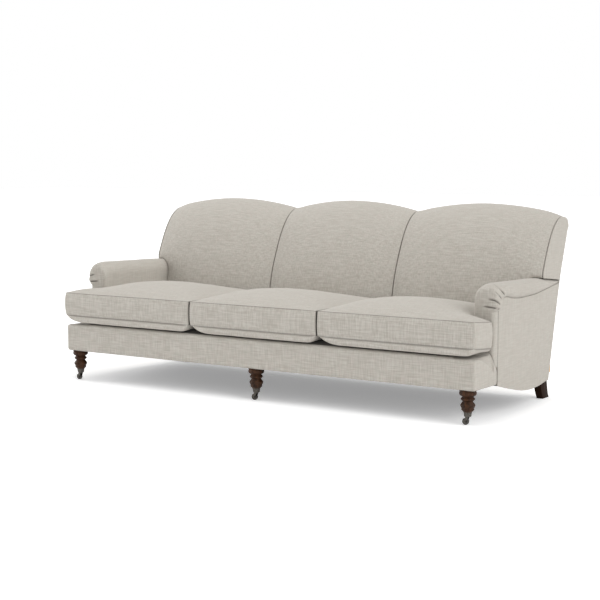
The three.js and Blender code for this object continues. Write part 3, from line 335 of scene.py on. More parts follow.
# Yarns lie in the cloth, so each direction of slubs fades where the cloth faces along it
facing = add_node(tree, "Attribute", attribute_name="facing")
toward = add_node(tree, "SeparateXYZ", {"Vector": facing.outputs["Vector"]}).outputs
slubs = 0.0
for axis, per_metre, start in (("X", (15, 240, 240), 0.0), ("Y", (240, 15, 240), 7.3),
                               ("Z", (240, 240, 15), 13.1)):
    along = add_node(tree, "Mapping", {"Vector": place, "Scale": per_metre, "Location": (start,) * 3})
    yarn = add_node(tree, "TexNoise", {"Vector": along, "Scale": 1.0, "Detail": 1.0, "Roughness": 0.5})
    uneven = add_node(tree, "Math", {0: yarn, 1: 0.5}, operation="SUBTRACT")
    through = add_node(tree, "Math", {0: toward[axis], 1: toward[axis]}, operation="MULTIPLY")
    lies = add_node(tree, "Math", {0: 1.0, 1: through}, operation="SUBTRACT")
    slub = add_node(tree, "Math", {0: uneven, 1: lies}, operation="MULTIPLY")
    slubs = add_node(tree, "Math", {0: slubs, 1: slub}, operation="ADD")
# The weave is drawn fainter on the tops and sides, where the photographed cloth looks smooth
frontal = add_node(tree, "Math", {0: toward["Y"], 1: toward["Y"]}, operation="MULTIPLY")
contrast = add_node(tree, "MapRange", {"Value": frontal, "To Min": 0.38, "To Max": 0.85})
drawn = add_node(tree, "Math", {0: slubs, 1: contrast}, operation="MULTIPLY")
yarn_share = add_node(tree, "MapRange", {"Value": drawn, "From Min": -0.22, "From Max": 0.22})
tone = add_node(tree, "ValToRGB", {"Fac": yarn_share}, [(0, "#a8a299"), (1, "#c3bfb7"), (0.5, "#b6b1a9")])
patches = add_node(tree, "TexNoise", {"Vector": place, "Scale": 55.0, "Detail": 2.0, "Roughness": 0.6})
hue = add_node(tree, "ValToRGB", {"Fac": patches}, [(0.32, "#b6a9a0"), (0.68, "#b1b2a6")])
mottled = add_node(tree, "Mix", {"Factor": 0.2, "A": tone, "B": hue}, data_type="RGBA")
# A seam is drawn as a dark line, partly painted shade of its groove; the same attribute also carries painted
# shade in the pleats, in the gaps beside the cushions and in the slot under them, and says how dark at each point
sewn = add_node(tree, "Attribute", attribute_name="sewn")
seam_and_shade_share = add_node(tree, "Math", {0: sewn.outputs["Fac"], 1: 0.9}, operation="MULTIPLY", use_clamp=True)
seamed_and_shaded = add_node(tree, "Mix", {"Factor": seam_and_shade_share, "A": mottled.outputs["Result"], "B": linear("#2c2720")},
                  data_type="RGBA")
bump = add_node(tree, "Bump", {"Height": yarn_share, "Strength": 0.35, "Distance": 0.0008})
feed(shader, {"Base Color": seamed_and_shaded.outputs["Result"], "Normal": bump, "Roughness": 0.92,
              "Specular IOR Level": 0.25, "Sheen Weight": 0.12, "Sheen Roughness": 0.5})


# Front rail cover
# Linen over felt on the beech front rail. It wraps round both ends, where its shoulders fall
# away under the cushions, and over the top edge as a lip. It is stapled underneath.
rail_face, rail_end = 480, 1.14


def spot(x, y, z):
    """A place given in millimetres, from the front rail's face, as a point of the sofa."""
    return Vector((x / 1000, (y - rail_face) / 1000, z / 1000))


def between(value, start, end):
    """Share of the way from the start to the end: 0 before it and 1 past it."""
    return np.clip((value - start) / (end - start), 0, 1)


def skin_of(mesh):
    """Places and normals of all points of a mesh."""
    places, normals = np.empty(3 * len(mesh.vertices)), np.empty(3 * len(mesh.vertices))
    mesh.vertices.foreach_get("co", places)
    mesh.vertices.foreach_get("normal", normals)
    return places.reshape(-1, 3), normals.reshape(-1, 3)


def mark_points(mesh, name, values, kind="FLOAT", field="value"):
    """Keeps one value for each point of a mesh, for the linen to read."""
    attribute = mesh.attributes.new(name, kind, "POINT")
    attribute.data.foreach_set(field, values.astype(np.float32).ravel())


def settle_cloth(piece, depth=0.0006, spacing=0.07):
    """Slight hand-made unevenness of a stuffed cover, the same on every run."""
    places, normals = skin_of(piece.data)
    waves = np.array([noise.noise(Vector(place)) for place in places / spacing])
    piece.data.vertices.foreach_set("co", (places + depth * normals * waves[:, None]).ravel())
    piece.data.update()


def finish_cover(piece, node, body="frame"):
    """Dresses a padded piece in linen, puts it on its body and hides the solid it stands for."""
    for polygon in piece.data.polygons:
        polygon.use_smooth = True
    mark_points(piece.data, "facing", skin_of(piece.data)[1], "FLOAT_VECTOR", "vector")
    coat(piece, woven_linen)
    claim(piece, body, node)


rail_cover = loose_copy("front_border", "rail_cover")
apply_modifier(rail_cover, "REMESH", mode="VOXEL", voxel_size=0.005, adaptivity=0)
apply_modifier(rail_cover, "SMOOTH", factor=0.5, iterations=14)
places, _ = skin_of(rail_cover.data)

# The cloth turns the two front corners in a tighter arc than the solid does
solid_corner, cloth_corner = 0.022, 0.009
centre_x, centre_y = rail_end - solid_corner, -rail_face / 1000 + solid_corner
out_x, out_y = np.abs(places[:, 0]) - centre_x, centre_y - places[:, 1]
in_corner = (out_x > 1e-6) & (out_y > 1e-6)
far = np.hypot(out_x, out_y)[in_corner]
ux, uy = out_x[in_corner] / far, out_y[in_corner] / far
flat = solid_corner - cloth_corner
middle_share = (ux + uy) * flat
reach = middle_share + np.sqrt(np.maximum(0, middle_share ** 2 - 2 * flat ** 2 + cloth_corner ** 2))
reach = np.where(uy * solid_corner / ux <= flat, solid_corner / ux, reach)
reach = np.where(ux * solid_corner / uy <= flat, solid_corner / uy, reach)
places[in_corner, 0] = np.sign(places[in_corner, 0]) * (centre_x + ux * far * reach / solid_corner)
places[in_corner, 1] = centre_y - uy * far * reach / solid_corner

# The front edge is pressed down below the cushions, and a little more at its ends
edge_sink, end_sink, sink_depth = 0.017, 0.005, 75
wide, behind_face = np.abs(places[:, 0]), places[:, 1] * 1000 + rail_face
sink = edge_sink + end_sink * between(wide, 0.95, rail_end) ** 1.5
places[:, 2] -= sink * between(behind_face, sink_depth, 0) * between(places[:, 2], 0.25, 0.3)

# Before the arm the top steps down, and the shoulder beside the arm falls away
rail_top, step_down, arm_face, left_reach = 300, 19, 184, 0.005
before_arm = between(behind_face, arm_face, arm_face - 12)
outer_fall = np.interp(behind_face, [20, 60, 100, 140, 176], [0, 6, 20, 44, 75])
fall = step_down * between(wide, 0.98, 1.04) + outer_fall * between(wide, 1.12, 1.138)
places[:, 2] = np.minimum(places[:, 2], (rail_top - fall * before_arm) / 1000)
places[:, 0] -= left_reach * between(-places[:, 0], 1.05, rail_end)
rail_cover.data.vertices.foreach_set("co", places.ravel())
rail_cover.data.update()

# Under the cushions, from a seam 12 to 20 mm behind the edge, the rail's top is darkened: painted shade of the
# slot under the cushions
slot_painted_shade = between(behind_face, 12, 20) * between(wide, 1.03, 1) * between(places[:, 2], 0.262, 0.272)
mark_points(rail_cover.data, "sewn", slot_painted_shade)
settle_cloth(rail_cover)
finish_cover(rail_cover, "front_border")


# Roll arms
# Each arm has an upright padded inside and a full roll over the top, gathered at the front
# end in pleats that fan out to the seam of the outside panel. Linen over foam on a beech post
# and rail, pulled down behind the roll and stapled.
half_width, rail_return, panel, fit = 1140, 214, 6, 0.3
back_foot_y, back_waist_y, back_waist_z = 834, 880, 545
base_rear, taper_base, taper_arm = 86, 40, 13
arm_inner, arm_front_y, arm_round, arm_foot, arm_core_foot = 1040, 176, 16, 204, 276
roll_height, seam_front, seam_rear = 64, 470, 540
front_dip, dip_run, roll_fullness = 13, 65, 0.95
roll_tucks, roll_reaches = (24, 4), (18, 2)
crest_line = [(176, 585), (420, 580.2), (650, 574.5), (760, 565), (880, 553)]
seam_shares = [(0, 0), (0.015, 0.31), (0.056, 0.63), (0.098, 0.77), (0.19, 0.64), (0.32, 0.53), (0.45, 0.54),
               (0.59, 0.57), (0.77, 0.75), (0.95, 0.94), (1, 1)]
rear_points = [(86, 834), (300, 855.4), (500, 875), (560, 884.5), (640, 912), (788, 964), (852, 968)]
sides = {"left": -1, "right": 1}


def mix(a, b, share):
    return a + (b - a) * share


def quarter_turn(count):
    """Angles from level to upright, in equal steps."""
    return [k * math.pi / 2 / count for k in range(count + 1)]


def rear_line(z):
    """The outside back's line, leaning a little up to the arms and more above them."""
    return curve_through(rear_points, z)


def outside_x(y, z):
    """Half width over the side panels, drawn in towards the rear and more at the base."""
    taper = mix(taper_arm, taper_base, between(z, back_waist_z, base_rear))
    return half_width - taper * between(y, rail_return, back_foot_y) ** 2


def roll_seam(y):
    """Height of the seam under the roll."""
    return mix(seam_front, seam_rear, curve_through(seam_shares, between(y, rail_return, back_waist_y)))


def closed_piece(name, points, faces):
    """A new piece from points and faces, with its faces turned outwards."""
    mesh = bpy.data.meshes.new(name)
    mesh.from_pydata(points, [], faces)
    piece = bpy.data.objects.new(name, mesh)
    bpy.context.scene.collection.objects.link(piece)
    edit_all(piece, bpy.ops.mesh.normals_make_consistent, inside=False)
    return piece


def loft(name, rings):
    """A closed body through rings of points, with a flat face at each end."""
    count = len(rings[0])
    faces = []
    for low in range(0, (len(rings) - 1) * count, count):
        for k in range(count):
            after = (k + 1) % count
            faces.append((low + k, low + after, low + count + after, low + count + k))
    faces.append(tuple(reversed(range(count))))
    faces.append(tuple((len(rings) - 1) * count + k for k in range(count)))
    return closed_piece(name, [point for ring in rings for point in ring], faces)


def arm_ring(side, y, inset, outer_x, bottom):
    """Outline of the arm across its length: upright inside, full roll, tuck to the panel."""
    behind = between(y, 650, 880)
    dip = front_dip * between(y, arm_front_y + dip_run, arm_front_y) ** 2
    crest = curve_through(crest_line, y) - inset - dip
    tuck, reach = mix(*roll_tucks, behind), mix(*roll_reaches, behind)
    seam = roll_seam(y)
    widest, halfway = seam + tuck, mix(seam, bottom, 0.5)
    inner, outer = arm_inner + inset, outer_x(y, seam) - inset
    middle = (inner + outer + reach) / 2
    turns = quarter_turn(12)

    def full(part):
        return abs(part) ** roll_fullness
    points = [(inner, bottom), (inner, mix(bottom, crest - roll_height, 0.5))]
    for a in turns[:-1]:
        below = (roll_height - inset) * (1 - full(math.sin(a)))
        points.append((middle - (middle - inner) * full(math.cos(a)), crest - below))
    for a in turns[:-1]:
        below = (crest - widest) * (1 - full(math.cos(a)))
        points.append((middle + (middle - inner) * full(math.sin(a)), crest - below))
    points += [(outer + reach * math.cos(a), widest - tuck * math.sin(a)) for a in turns[::2]]
    points += [(outer_x(y, halfway) - inset, halfway), (outer_x(y, bottom) - inset, bottom)]
    return [spot(side * x, min(y, rear_line(z) - panel - 2 * fit), z) for x, z in points]


def inside_panel(y, z):
    return outside_x(y, z) - panel - fit


def crease(piece, lines, depth, width, puff):
    """Presses lines into the cloth, darkens them as painted shade in the creases, and lets the cloth swell beside
    them.
    """
    places, normals = skin_of(piece.data)
    moves, marks = np.zeros(len(places)), np.zeros(len(places))
    for line in lines:
        ends = np.array(line)
        nearest, shares = np.full(len(places), 1e9), np.zeros(len(places))
        lengths = np.linalg.norm(ends[1:] - ends[:-1], axis=1)
        total, done = lengths.sum(), 0.0
        for a, b, length in zip(ends[:-1], ends[1:], lengths):
            t = np.clip(((places - a) @ (b - a)) / length ** 2, 0, 1)
            gap = np.linalg.norm(places - (a + t[:, None] * (b - a)), axis=1)
            shares = np.where(gap < nearest, (done + t * length) / total, shares)
            nearest = np.minimum(gap, nearest)
            done += length
        fade = np.clip(shares / 0.3, 0, 1) ** 0.7
        pressed = fade * np.exp(-(nearest / width) ** 2)
        moves -= depth * pressed
        moves += puff * fade * np.exp(-((nearest - 3.2 * width) / (1.6 * width)) ** 2)
        marks = np.maximum(marks, pressed)
    piece.data.vertices.foreach_set("co", (places + normals * moves[:, None]).ravel())
    piece.data.update()
    mark_points(piece.data, "sewn", marks)


# The pleats, from the inside of the roll out to the seam at its front corner
pleats = [
    [(1109.6, 222, 582.4), (1121.7, 216, 579), (1137, 220, 567.8), (1147.3, 230, 552.7),
     (1151.6, 246, 536.3)],
    [(1111.3, 176, 565), (1125.5, 176.7, 561.9), (1139.3, 180, 556.5), (1152.8, 192.8, 539.2),
     (1156.3, 213.2, 519.9)],
    [(1109.6, 176, 519.9), (1124.2, 176, 517.8), (1139.1, 176, 515.3), (1150.5, 179.6, 509.7),
     (1156.6, 190, 500.8)],
    [(1084.8, 176, 487.4), (1103.6, 176, 486.4), (1118.1, 176, 485.1), (1140.9, 176.3, 483.1),
     (1152.6, 189.7, 478.8)]]
pleat_depth, pleat_width, pleat_puff = 0.0042, 0.003, 0.0014
arm_end = rear_line(crest_line[-1][1]) - panel - 2 * fit
length_shares = [0, 0.012, 0.03, 0.05, 0.08, 0.11, 0.15, 0.19, 0.25, 0.32, 0.4, 0.48, 0.56, 0.64, 0.7, 0.76,
                 0.82, 0.88, 0.94, 1]
for side_name, side in sides.items():
    rings = [arm_ring(side, arm_front_y + arm_round * (1 - math.cos(a)), arm_round * (1 - math.sin(a)),
                      outside_x, arm_foot) for a in quarter_turn(6)]
    rings += [arm_ring(side, y, 0, outside_x, arm_foot) for y in (202, rail_return)]
    rings += [arm_ring(side, mix(rail_return + fit, arm_end, share), 0, inside_panel, arm_core_foot)
              for share in length_shares]
    arm = loft(f"roll_arm_{side_name}", rings)
    cutter = loose_copy("front_border", "rail_room")
    apply_modifier(arm, "BOOLEAN", operation="DIFFERENCE", object=cutter, solver="EXACT")
    bpy.data.objects.remove(cutter)
    apply_modifier(arm, "REMESH", mode="VOXEL", voxel_size=0.0031, adaptivity=0)
    apply_modifier(arm, "SMOOTH", factor=0.5, iterations=8)
    settle_cloth(arm)
    lines = [[spot(side * x, y, z) for x, y, z in line] for line in pleats]
    crease(arm, lines, pleat_depth, pleat_width, pleat_puff)
    finish_cover(arm, f"arm_pad_{side_name}")


# Outside arm panels
# A flat linen panel on each side, from the seam under the roll down to the curved base line and
# back to the rear corner. It is blind stapled at the top and front, and turned under the frame.
base_shares, rear_lift = [(0, 145), (0.25, 111.9), (0.5, 85.7), (0.75, 76), (1, 76)], 10


def base_line(y):
    """Base of the side: it drops behind the front rail, runs low and rises to the rear leg."""
    along = between(y, rail_return, back_foot_y)
    return curve_through(base_shares, along) + rear_lift * between(along, 0.5, 1) ** 2


def cover_body(name, columns, rows, outer, inner, seam, filled=lambda i, j: True, wall_shares=(), wall=None,
               wall_shade=lambda i, j: 0.0):
    """A closed cover of two cloths joined round their edge, with its points' numbers and its edge."""
    numbers, points, faces, outward, edges = {}, [], [], {}, []
    last = len(wall_shares) + 1

    def is_filled(i, j):
        return 0 <= i < columns and 0 <= j < rows and filled(i, j)

    def number(i, j, level):
        if (i, j, level) not in numbers:
            numbers[i, j, level] = len(points)
            points.append(outer(i, j) if level == 0 else inner(i, j) if level == last
                          else wall(i, j, wall_shares[level - 1], outward[i, j]))
        return numbers[i, j, level]
    for i in range(columns):
        for j in range(rows):
            if not is_filled(i, j):
                continue
            corners = [(i, j), (i + 1, j), (i + 1, j + 1), (i, j + 1)]
            faces.append([number(a, b, 0) for a, b in corners])
            faces.append([number(a, b, last) for a, b in reversed(corners)])
            for k, (di, dj) in enumerate(((0, -1), (1, 0), (0, 1), (-1, 0))):
                if not is_filled(i + di, j + dj):
                    ends = [corners[k], corners[(k + 1) % 4]]
                    edges.append(ends)
                    for end in ends:
                        x, y = outward.get(end, (0, 0))
                        outward[end] = (x + di, y + dj)
    for a, b in edges:
        for level in range(last):
            faces.append([number(*b, level), number(*a, level), number(*a, level + 1), number(*b, level + 1)])
    piece = closed_piece(name, points, faces)
    marks = np.zeros(len(points))
    for (i, j, level), n in numbers.items():
        if (i, j) in outward:
            marks[n] = seam(i, j, level) if level in (0, last) else wall_shade(i, j)
    mark_points(piece.data, "sewn", marks)
    return piece, numbers, outward


def places_between(start, end, step, edge=(3, 8)):
    """Places from start to end, about a step apart, with closer ones beside both ends."""
    inner_start, inner_end = start + edge[-1], end - edge[-1]
    count = max(1, round((inner_end - inner_start) / step))
    middle = [mix(inner_start, inner_end, k / count) for k in range(count + 1)]
    return [start] + [start + e for e in edge[:-1]] + middle + [end - e for e in reversed(edge[:-1])] + [end]


panel_columns, panel_rows = places_between(0, 1000, 26, (6, 14)), places_between(0, 1000, 45, (8, 20))
last_row, panel_tuck, panel_seam = len(panel_rows) - 1, 1.6, 0.5


def on_panel(side, i, j, inward):
    along, up = panel_columns[i] / 1000, panel_rows[j] / 1000
    rough = mix(rail_return + fit, rear_line(back_waist_z) - panel - fit, along)
    z = mix(base_line(rough), roll_seam(rough) - fit, up)
    y = mix(rail_return + fit, rear_line(z) - panel - 2 * fit, along)
    tucked = panel_tuck if inward == 0 and (i == 0 or j == last_row) else 0
    return spot(side * (outside_x(y, z) - inward - tucked), y, z)


for side_name, side in sides.items():
    side_panel, _, _ = cover_body(
        f"outside_arm_panel_{side_name}", len(panel_columns) - 1, last_row,
        lambda i, j: on_panel(side, i, j, 0), lambda i, j: on_panel(side, i, j, panel),
        lambda i, j, level: panel_seam if i == 0 or j == last_row else 0.0)
    apply_modifier(side_panel, "SUBSURF", levels=1, render_levels=1)
    settle_cloth(side_panel)
    finish_cover(side_panel, f"outside_arm_{side_name}")


# Back
# Three padded sections, each domed like a hump and pulled down between them along a sewn seam
# that runs over the top to the outside back. Fibre and foam on webbing, linen pulled over the
# top rail and stapled behind.
pull_seam, back_side, border = 359, 1127, 6
back_seat_y, back_rear_y, deck_top, back_valley_z = 620, 970, 300, 852
top_rail, back_pad, webbing_room, pad_step_z, rail_lap = 45, 45, 2.6, 745, 22
hump_rise, hump_arch, seam_dip, dip_width = 45, 26, 4.5, 9
edge_reach, edge_set_back, edge_drop, arm_set_back, dip_end = 75, 7, 9, 40, 60
# Along the pull seam: share of the depth, of the height and of the hump, and how upward it swells
back_path = [
    (0, 0, 0.2, 0), (0.099, 0.286, 0.62, 0), (0.156, 0.438, 0.72, 0), (0.253, 0.601, 0.78, 0),
    (0.392, 0.784, 0.85, 0), (0.548, 0.918, 0.93, 0), (0.716, 0.991, 1, 0.2), (0.84, 1, 1, 1),
    (0.952, 0.982, 0.95, 1), (0.994, 0.938, 0.8, 1), (1, 0.888, hump_arch / hump_rise, 1)]
# How far the outer edges ease back and down at the same places
edge_ease = [(1, 0), (1, 0), (1, 0), (1, 0), (0.8, 0.3), (0.5, 0.7), (0.1, 1), (0, 1), (0, 0.9), (0, 0.5),
             (0, 0)]
section_ends = {"left": (-back_side + border + fit, -pull_seam), "centre": (-pull_seam, pull_seam),
                "right": (pull_seam, back_side - border - fit)}
outer_end = section_ends["right"][1]
last_place = len(back_path) - 1


def row_at(rows, n, t):
    """One value of a table of rows, at a place between them."""
    return curve_through([(k, row[n]) for k, row in enumerate(rows)], t)


def path_point(t):
    """Depth and height of a place on the pull seam's line."""
    return (mix(back_seat_y, back_rear_y, row_at(back_path, 0, t)),
            mix(deck_top + fit, back_valley_z, row_at(back_path, 1, t)))


def edge_shift(x, t):
    """The outer edges ease back and down to the seam of the side border."""
    near = between(abs(x), outer_end - edge_reach, outer_end) ** 2
    return edge_set_back * row_at(edge_ease, 0, t) * near, -edge_drop * row_at(edge_ease, 1, t) * near


def section_of(x):
    return next((ends for ends in section_ends.values() if x <= ends[1]), section_ends["right"])


def hump_at(x):
    start, end = section_of(x)
    return 1 - min(1, ((2 * x - start - end) / (end - start)) ** 2)


def back_face(x, t):
    """A point of the padded face, from the seat up over the top to the outside back."""
    y, z = path_point(t)
    y0, z0 = path_point(max(0, t - 0.5))
    y1, z1 = path_point(min(last_place, t + 0.5))
    run = math.hypot(y1 - y0, z1 - z0)
    upward = row_at(back_path, 3, t)
    sy, sz = mix(-(z1 - z0) / run, 0, upward), mix((y1 - y0) / run, 1, upward)
    if t < 0.5:
        sy, sz = mix(-1, sy, t / 0.5), mix(0, sz, t / 0.5)
    size = math.hypot(sy, sz)
    rise = hump_rise * hump_at(x) * row_at(back_path, 2, t)
    start, end = section_of(x)
    if abs(x) <= outer_end - dip_end:
        rise -= seam_dip * math.exp(-(min(x - start, end - x) / dip_width) ** 1.3)
    dy, dz = edge_shift(x, t)
    dy += arm_set_back * between(abs(x), 820, 1080) ** 2 * between(t, 2.5, 1.5)
    return spot(x, y + rise * sy / size + dy, z + rise * sz / size + dz)


def post_back(z):
    return rear_line(z) - panel - fit


def pad_back(z):
    return post_back(z) - back_pad - webbing_room


def back_core(x, t):
    """The inner face, against the webbing and over the top rail."""
    top = back_valley_z - top_rail + hump_rise * hump_at(x)
    behind = post_back(top) + fit
    end = back_face(x, last_place)[2] * 1000
    over = [(pad_back(pad_step_z), pad_step_z), (pad_back(top), top + fit),
            (post_back(top) - rail_lap, top + fit), (behind, top + fit), (behind, (top + end) / 2), (behind, end)]
    heights = [path_point(k)[1] for k in range(last_place + 1 - len(over))]
    stations = [(pad_back(z), z) for z in heights] + over
    k = min(int(t), last_place - 1)
    (y0, z0), (y1, z1) = stations[k:k + 2]
    return spot(x, mix(y0, y1, t - k), mix(z0, z1, t - k))


def blow_up(piece, held, pressure, cap):
    """Air pressure swells the free cloth for twenty frames, and no point moves further than the cap."""
    start = [vertex.co.copy() for vertex in piece.data.vertices]
    piece.vertex_groups.new(name="held").add(held, 1.0, "REPLACE")
    pick(piece)
    bpy.context.scene.frame_set(1)
    cloth = piece.modifiers.new("cloth", "CLOTH")
    cloth.settings.vertex_group_mass = "held"
    cloth.settings.quality = 5
    cloth.settings.use_pressure = True
    cloth.settings.uniform_pressure_force = pressure
    cloth.settings.effector_weights.gravity = 0
    cloth.collision_settings.use_collision = False
    for step in range(1, 21):
        bpy.context.scene.frame_set(step)
    bpy.ops.object.modifier_apply(modifier="cloth")
    piece.vertex_groups.clear()
    bpy.context.scene.frame_set(1)
    for vertex, first in zip(piece.data.vertices, start):
        move = vertex.co - first
        if move.length > cap:
            vertex.co = first + move * (cap / move.length)


def arm_room(side):
    """The room that the roll of the arm takes out of the back."""
    rings = []
    inner, outer, foot, crest_room = arm_inner - 4, back_side + 18, 260, 2.5
    middle = (inner + outer) / 2
    for y in (610, 650, 700, 760, 820, 880, 1010):
        crest = curve_through(crest_line, y) + crest_room
        arc = [(middle - (middle - inner) * math.cos(a) ** roll_fullness,
                crest - roll_height * (1 - math.sin(a) ** roll_fullness)) for a in quarter_turn(10)]
        ring = [(inner, foot)] + arc + [(outer + 40, crest), (outer + 40, foot)]
        rings.append([spot(side * x, y, z) for x, z in ring])
    return loft("arm_room", rings)


def back_seam(i, j, level):
    """How dark the seams are: none at the seat, and fainter beside the borders."""
    return 0.0 if j == 0 else 0.3 if abs(across[i]) > 1000 else 0.9


up = [0, 0.15, 0.4, 0.7, 1, 1.3, 1.6] + [k + part for k in range(2, 6) for part in (0, 0.33, 0.66)]
up += [6 + k / 4 for k in range(17)]
for name, (start, end) in section_ends.items():
    across = places_between(start + fit / 2, end - fit / 2, 24, (3, 8, 16, 28))
    section, numbers, outward = cover_body(
        f"padded_back_{name}", len(across) - 1, len(up) - 1, lambda i, j: back_face(across[i], up[j]),
        lambda i, j: back_core(across[i], up[j]), back_seam)
    held = [n for (i, j, level), n in numbers.items()
            if level == 1 or (i, j) in outward or i in (1, len(across) - 2)]
    blow_up(section, held, pressure=2.5, cap=0.006)
    apply_modifier(section, "SUBSURF", levels=1, render_levels=1)
    if name in sides:
        room = arm_room(sides[name])
        apply_modifier(section, "BOOLEAN", operation="DIFFERENCE", object=room, solver="EXACT")
        bpy.data.objects.remove(room)
    settle_cloth(section, depth=0.0007, spacing=0.09)
    finish_cover(section, f"back_section_{name}")

# The boxed side borders, above the arms: a strip of linen sewn between the face and the outside back
border_foot, border_rear_foot, low_share, border_steps, border_seam = 569.5, 552.5, 2.6, 60, 0.55
front_edge = []
for k in range(border_steps + 1):
    t = low_share + (last_place - low_share) * k / border_steps
    y, z = path_point(t)
    dy, dz = edge_shift(back_side, t)
    if z + dz > 575:
        front_edge.append((y + dy, z + dz))
front_edge.insert(0, (front_edge[0][0] - 0.8, border_foot))
last_edge = len(front_edge) - 1
rear_heights = [mix(border_rear_foot, front_edge[-1][1], k / last_edge) for k in range(last_edge + 1)]
rear_edge = [(post_back(z), z) for z in rear_heights]
border_shares = [0, 0.03, 0.1, 0.25, 0.4, 0.55, 0.7, 0.85, 0.95, 1]


def on_border(side, i, j, inward):
    """A point of a border: it swells 1 mm in its middle and is tucked 1 mm in at its seam."""
    share = border_shares[j]
    y, z = [mix(front, rear, share) for front, rear in zip(front_edge[i], rear_edge[i])]
    swell = math.sin(math.pi * share) - (j == 0) if inward == 0 else 0
    return spot(side * (back_side - inward + swell), y, z)


for side_name, side in sides.items():
    side_border, _, _ = cover_body(
        f"back_side_border_{side_name}", last_edge, len(border_shares) - 1,
        lambda i, j: on_border(side, i, j, 0), lambda i, j: on_border(side, i, j, border),
        lambda i, j, level: border_seam if j == 0 and level else 0.0)
    apply_modifier(side_border, "SUBSURF", levels=1, render_levels=1)
    finish_cover(side_border, f"back_border_{side_name}")


# Outside back
# One flat linen panel over the whole back of the frame, blind stapled along its arched top and
# sewn by hand to the side panels, then turned under the back rail.
back_columns = [-back_side] + sorted({x for start, end in section_ends.values()
                                      for x in places_between(start, end, 48, (6, 16))}) + [back_side]
back_rows = [0, 0.02, 0.06, 0.15, 0.25, 0.35, 0.45, 0.55, 0.65, 0.75, 0.85, 0.94, 0.98, 1]
last_column, top_row, back_tuck, top_seam = len(back_columns) - 1, len(back_rows) - 1, 1.4, 0.8


def on_back(i, j, inward):
    x = back_columns[i]
    top = path_point(last_place)[1] - fit + hump_arch * hump_at(x)
    z = mix(base_rear, top, back_rows[j])
    tucked = back_tuck if inward == 0 and (i in (0, last_column) or j in (0, top_row)) else 0
    return spot(x * (outside_x(back_foot_y, z) / back_side), rear_line(z) - inward - tucked, z)


outside_back, _, _ = cover_body(
    "outside_back_panel", last_column, top_row,
    lambda i, j: on_back(i, j, 0), lambda i, j: on_back(i, j, panel),
    lambda i, j, level: top_seam if 0 < i < last_column and j == top_row else 0.0)
apply_modifier(outside_back, "SUBSURF", levels=1, render_levels=1)
settle_cloth(outside_back)
finish_cover(outside_back, "outside_back")

# A plain folded tab of tan cotton tape, ribbed 2 mm apart and sewn into the right rear seam
cotton_tape, tree, shader, place = new_finish("tan_cotton_tape")
ribs = add_node(tree, "TexWave", {"Vector": place, "Scale": 160.0, "Distortion": 0.5}, bands_direction="Z")
tone = add_node(tree, "ValToRGB", {"Fac": ribs.outputs["Fac"]}, [(0, "#c09a70"), (1, "#d8b48a")])
feed(shader, {"Base Color": tone, "Roughness": 0.85})
bpy.ops.object.select_all(action="DESELECT")
low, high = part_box("seam_tab")
bpy.ops.mesh.primitive_cube_add(size=1, location=(low + high) / 2, scale=high - low)
tab = bpy.context.object
tab.name = tab.data.name = "plain_tape_tab"
bpy.ops.object.transform_apply(location=True, rotation=True, scale=True)
apply_modifier(tab, "BEVEL", width=0.0007, segments=3)
coat(tab, cotton_tape)
claim(tab, "frame", "seam_tab")


# Platform and dust cover
# The cushions lie on a thin felt platform, drawn as dark cloth: painted shade of the slots under the cushions.
# Below the frame, black lining cloth is stapled on as a dust cover.
def plain_cloth(name, per_metre, dark, light):
    """Dull plain cloth, with its threads drawn as fine blotches."""
    material, tree, shader, place = new_finish(name)
    threads = add_node(tree, "TexNoise", {"Vector": place, "Scale": per_metre, "Detail": 2.0})
    tone = add_node(tree, "ValToRGB", {"Fac": threads}, [(0, dark), (1, light)])
    feed(shader, {"Base Color": tone, "Roughness": 0.95})
    return material


platform = loose_copy("seat_deck", "seat_platform")
apply_modifier(platform, "BEVEL", width=0.006, segments=3)
coat(platform, plain_cloth("dark_platform_cloth", 350.0, "#38332c", "#544c43"))
claim(platform, "frame", "seat_deck")
lining = loose_copy("dust_cover", "dust_lining")
coat(lining, plain_cloth("black_lining_cloth", 400.0, "#1d1d1f", "#353538"))
claim(lining, "frame", "dust_cover")


# Seat cushions
# Three loose cushions of feather and fibre: two linen panels blown out between their seams,
# round a boxed border. The outer two have ears that reach round in front of the arms.
cushion_front, cushion_back, ear_side, ear_back = -5, 605, 1141, 152
seam_low, seam_high, crown_rise, ear_droop, corner = 328, 440.5, 63, 13, 18
foot_corner, inner_corner, left_ear_extra, grid = 25, 5, 11, 15
border_bulge, seam_pinch = 6, 1.2
ear_push, rear_loss, crown_fullness, crown_rounds = 3.6, 0.55, 0.84, 9000
# Darkness of the cushion panels' seams, and of the painted shade in the gaps beside the cushions
panel_dark, gap_shade_dark = 0.65, 0.9
# Below the border the lower panel falls to the platform within a few millimetres of its seam,
# reaches out over the rail as a lip, and sags: all by the distance from the edge or the front
under_fall = [(0, 0), (2, 0.29), (5, 0.66), (9, 0.96), (15, 1), (2000, 1)]
under_lip = [(0, 0), (2, -8), (5, -14), (9, -18), (15, -19), (24, -17), (40, -13), (60, -9), (90, -5),
             (130, 0), (2000, 0)]
under_sag = [(0, 0), (5, 0), (9, 1), (15, 5), (24, 6.5), (40, 5), (60, 2.5), (90, 0), (2000, 0)]
# The lip is fuller away from its ends: a long rise on the left and a short one on the right
left_fill = [(0, 0), (15, 0.27), (40, 0.62), (70, 0.87), (110, 1), (2000, 1)]
right_fill = [(0, 0), (4, 0.3), (12, 0.66), (25, 0.88), (45, 1), (2000, 1)]
wall_shares = (0.03, 0.09, 0.2, 0.35, 0.5, 0.65, 0.8, 0.91, 0.97)


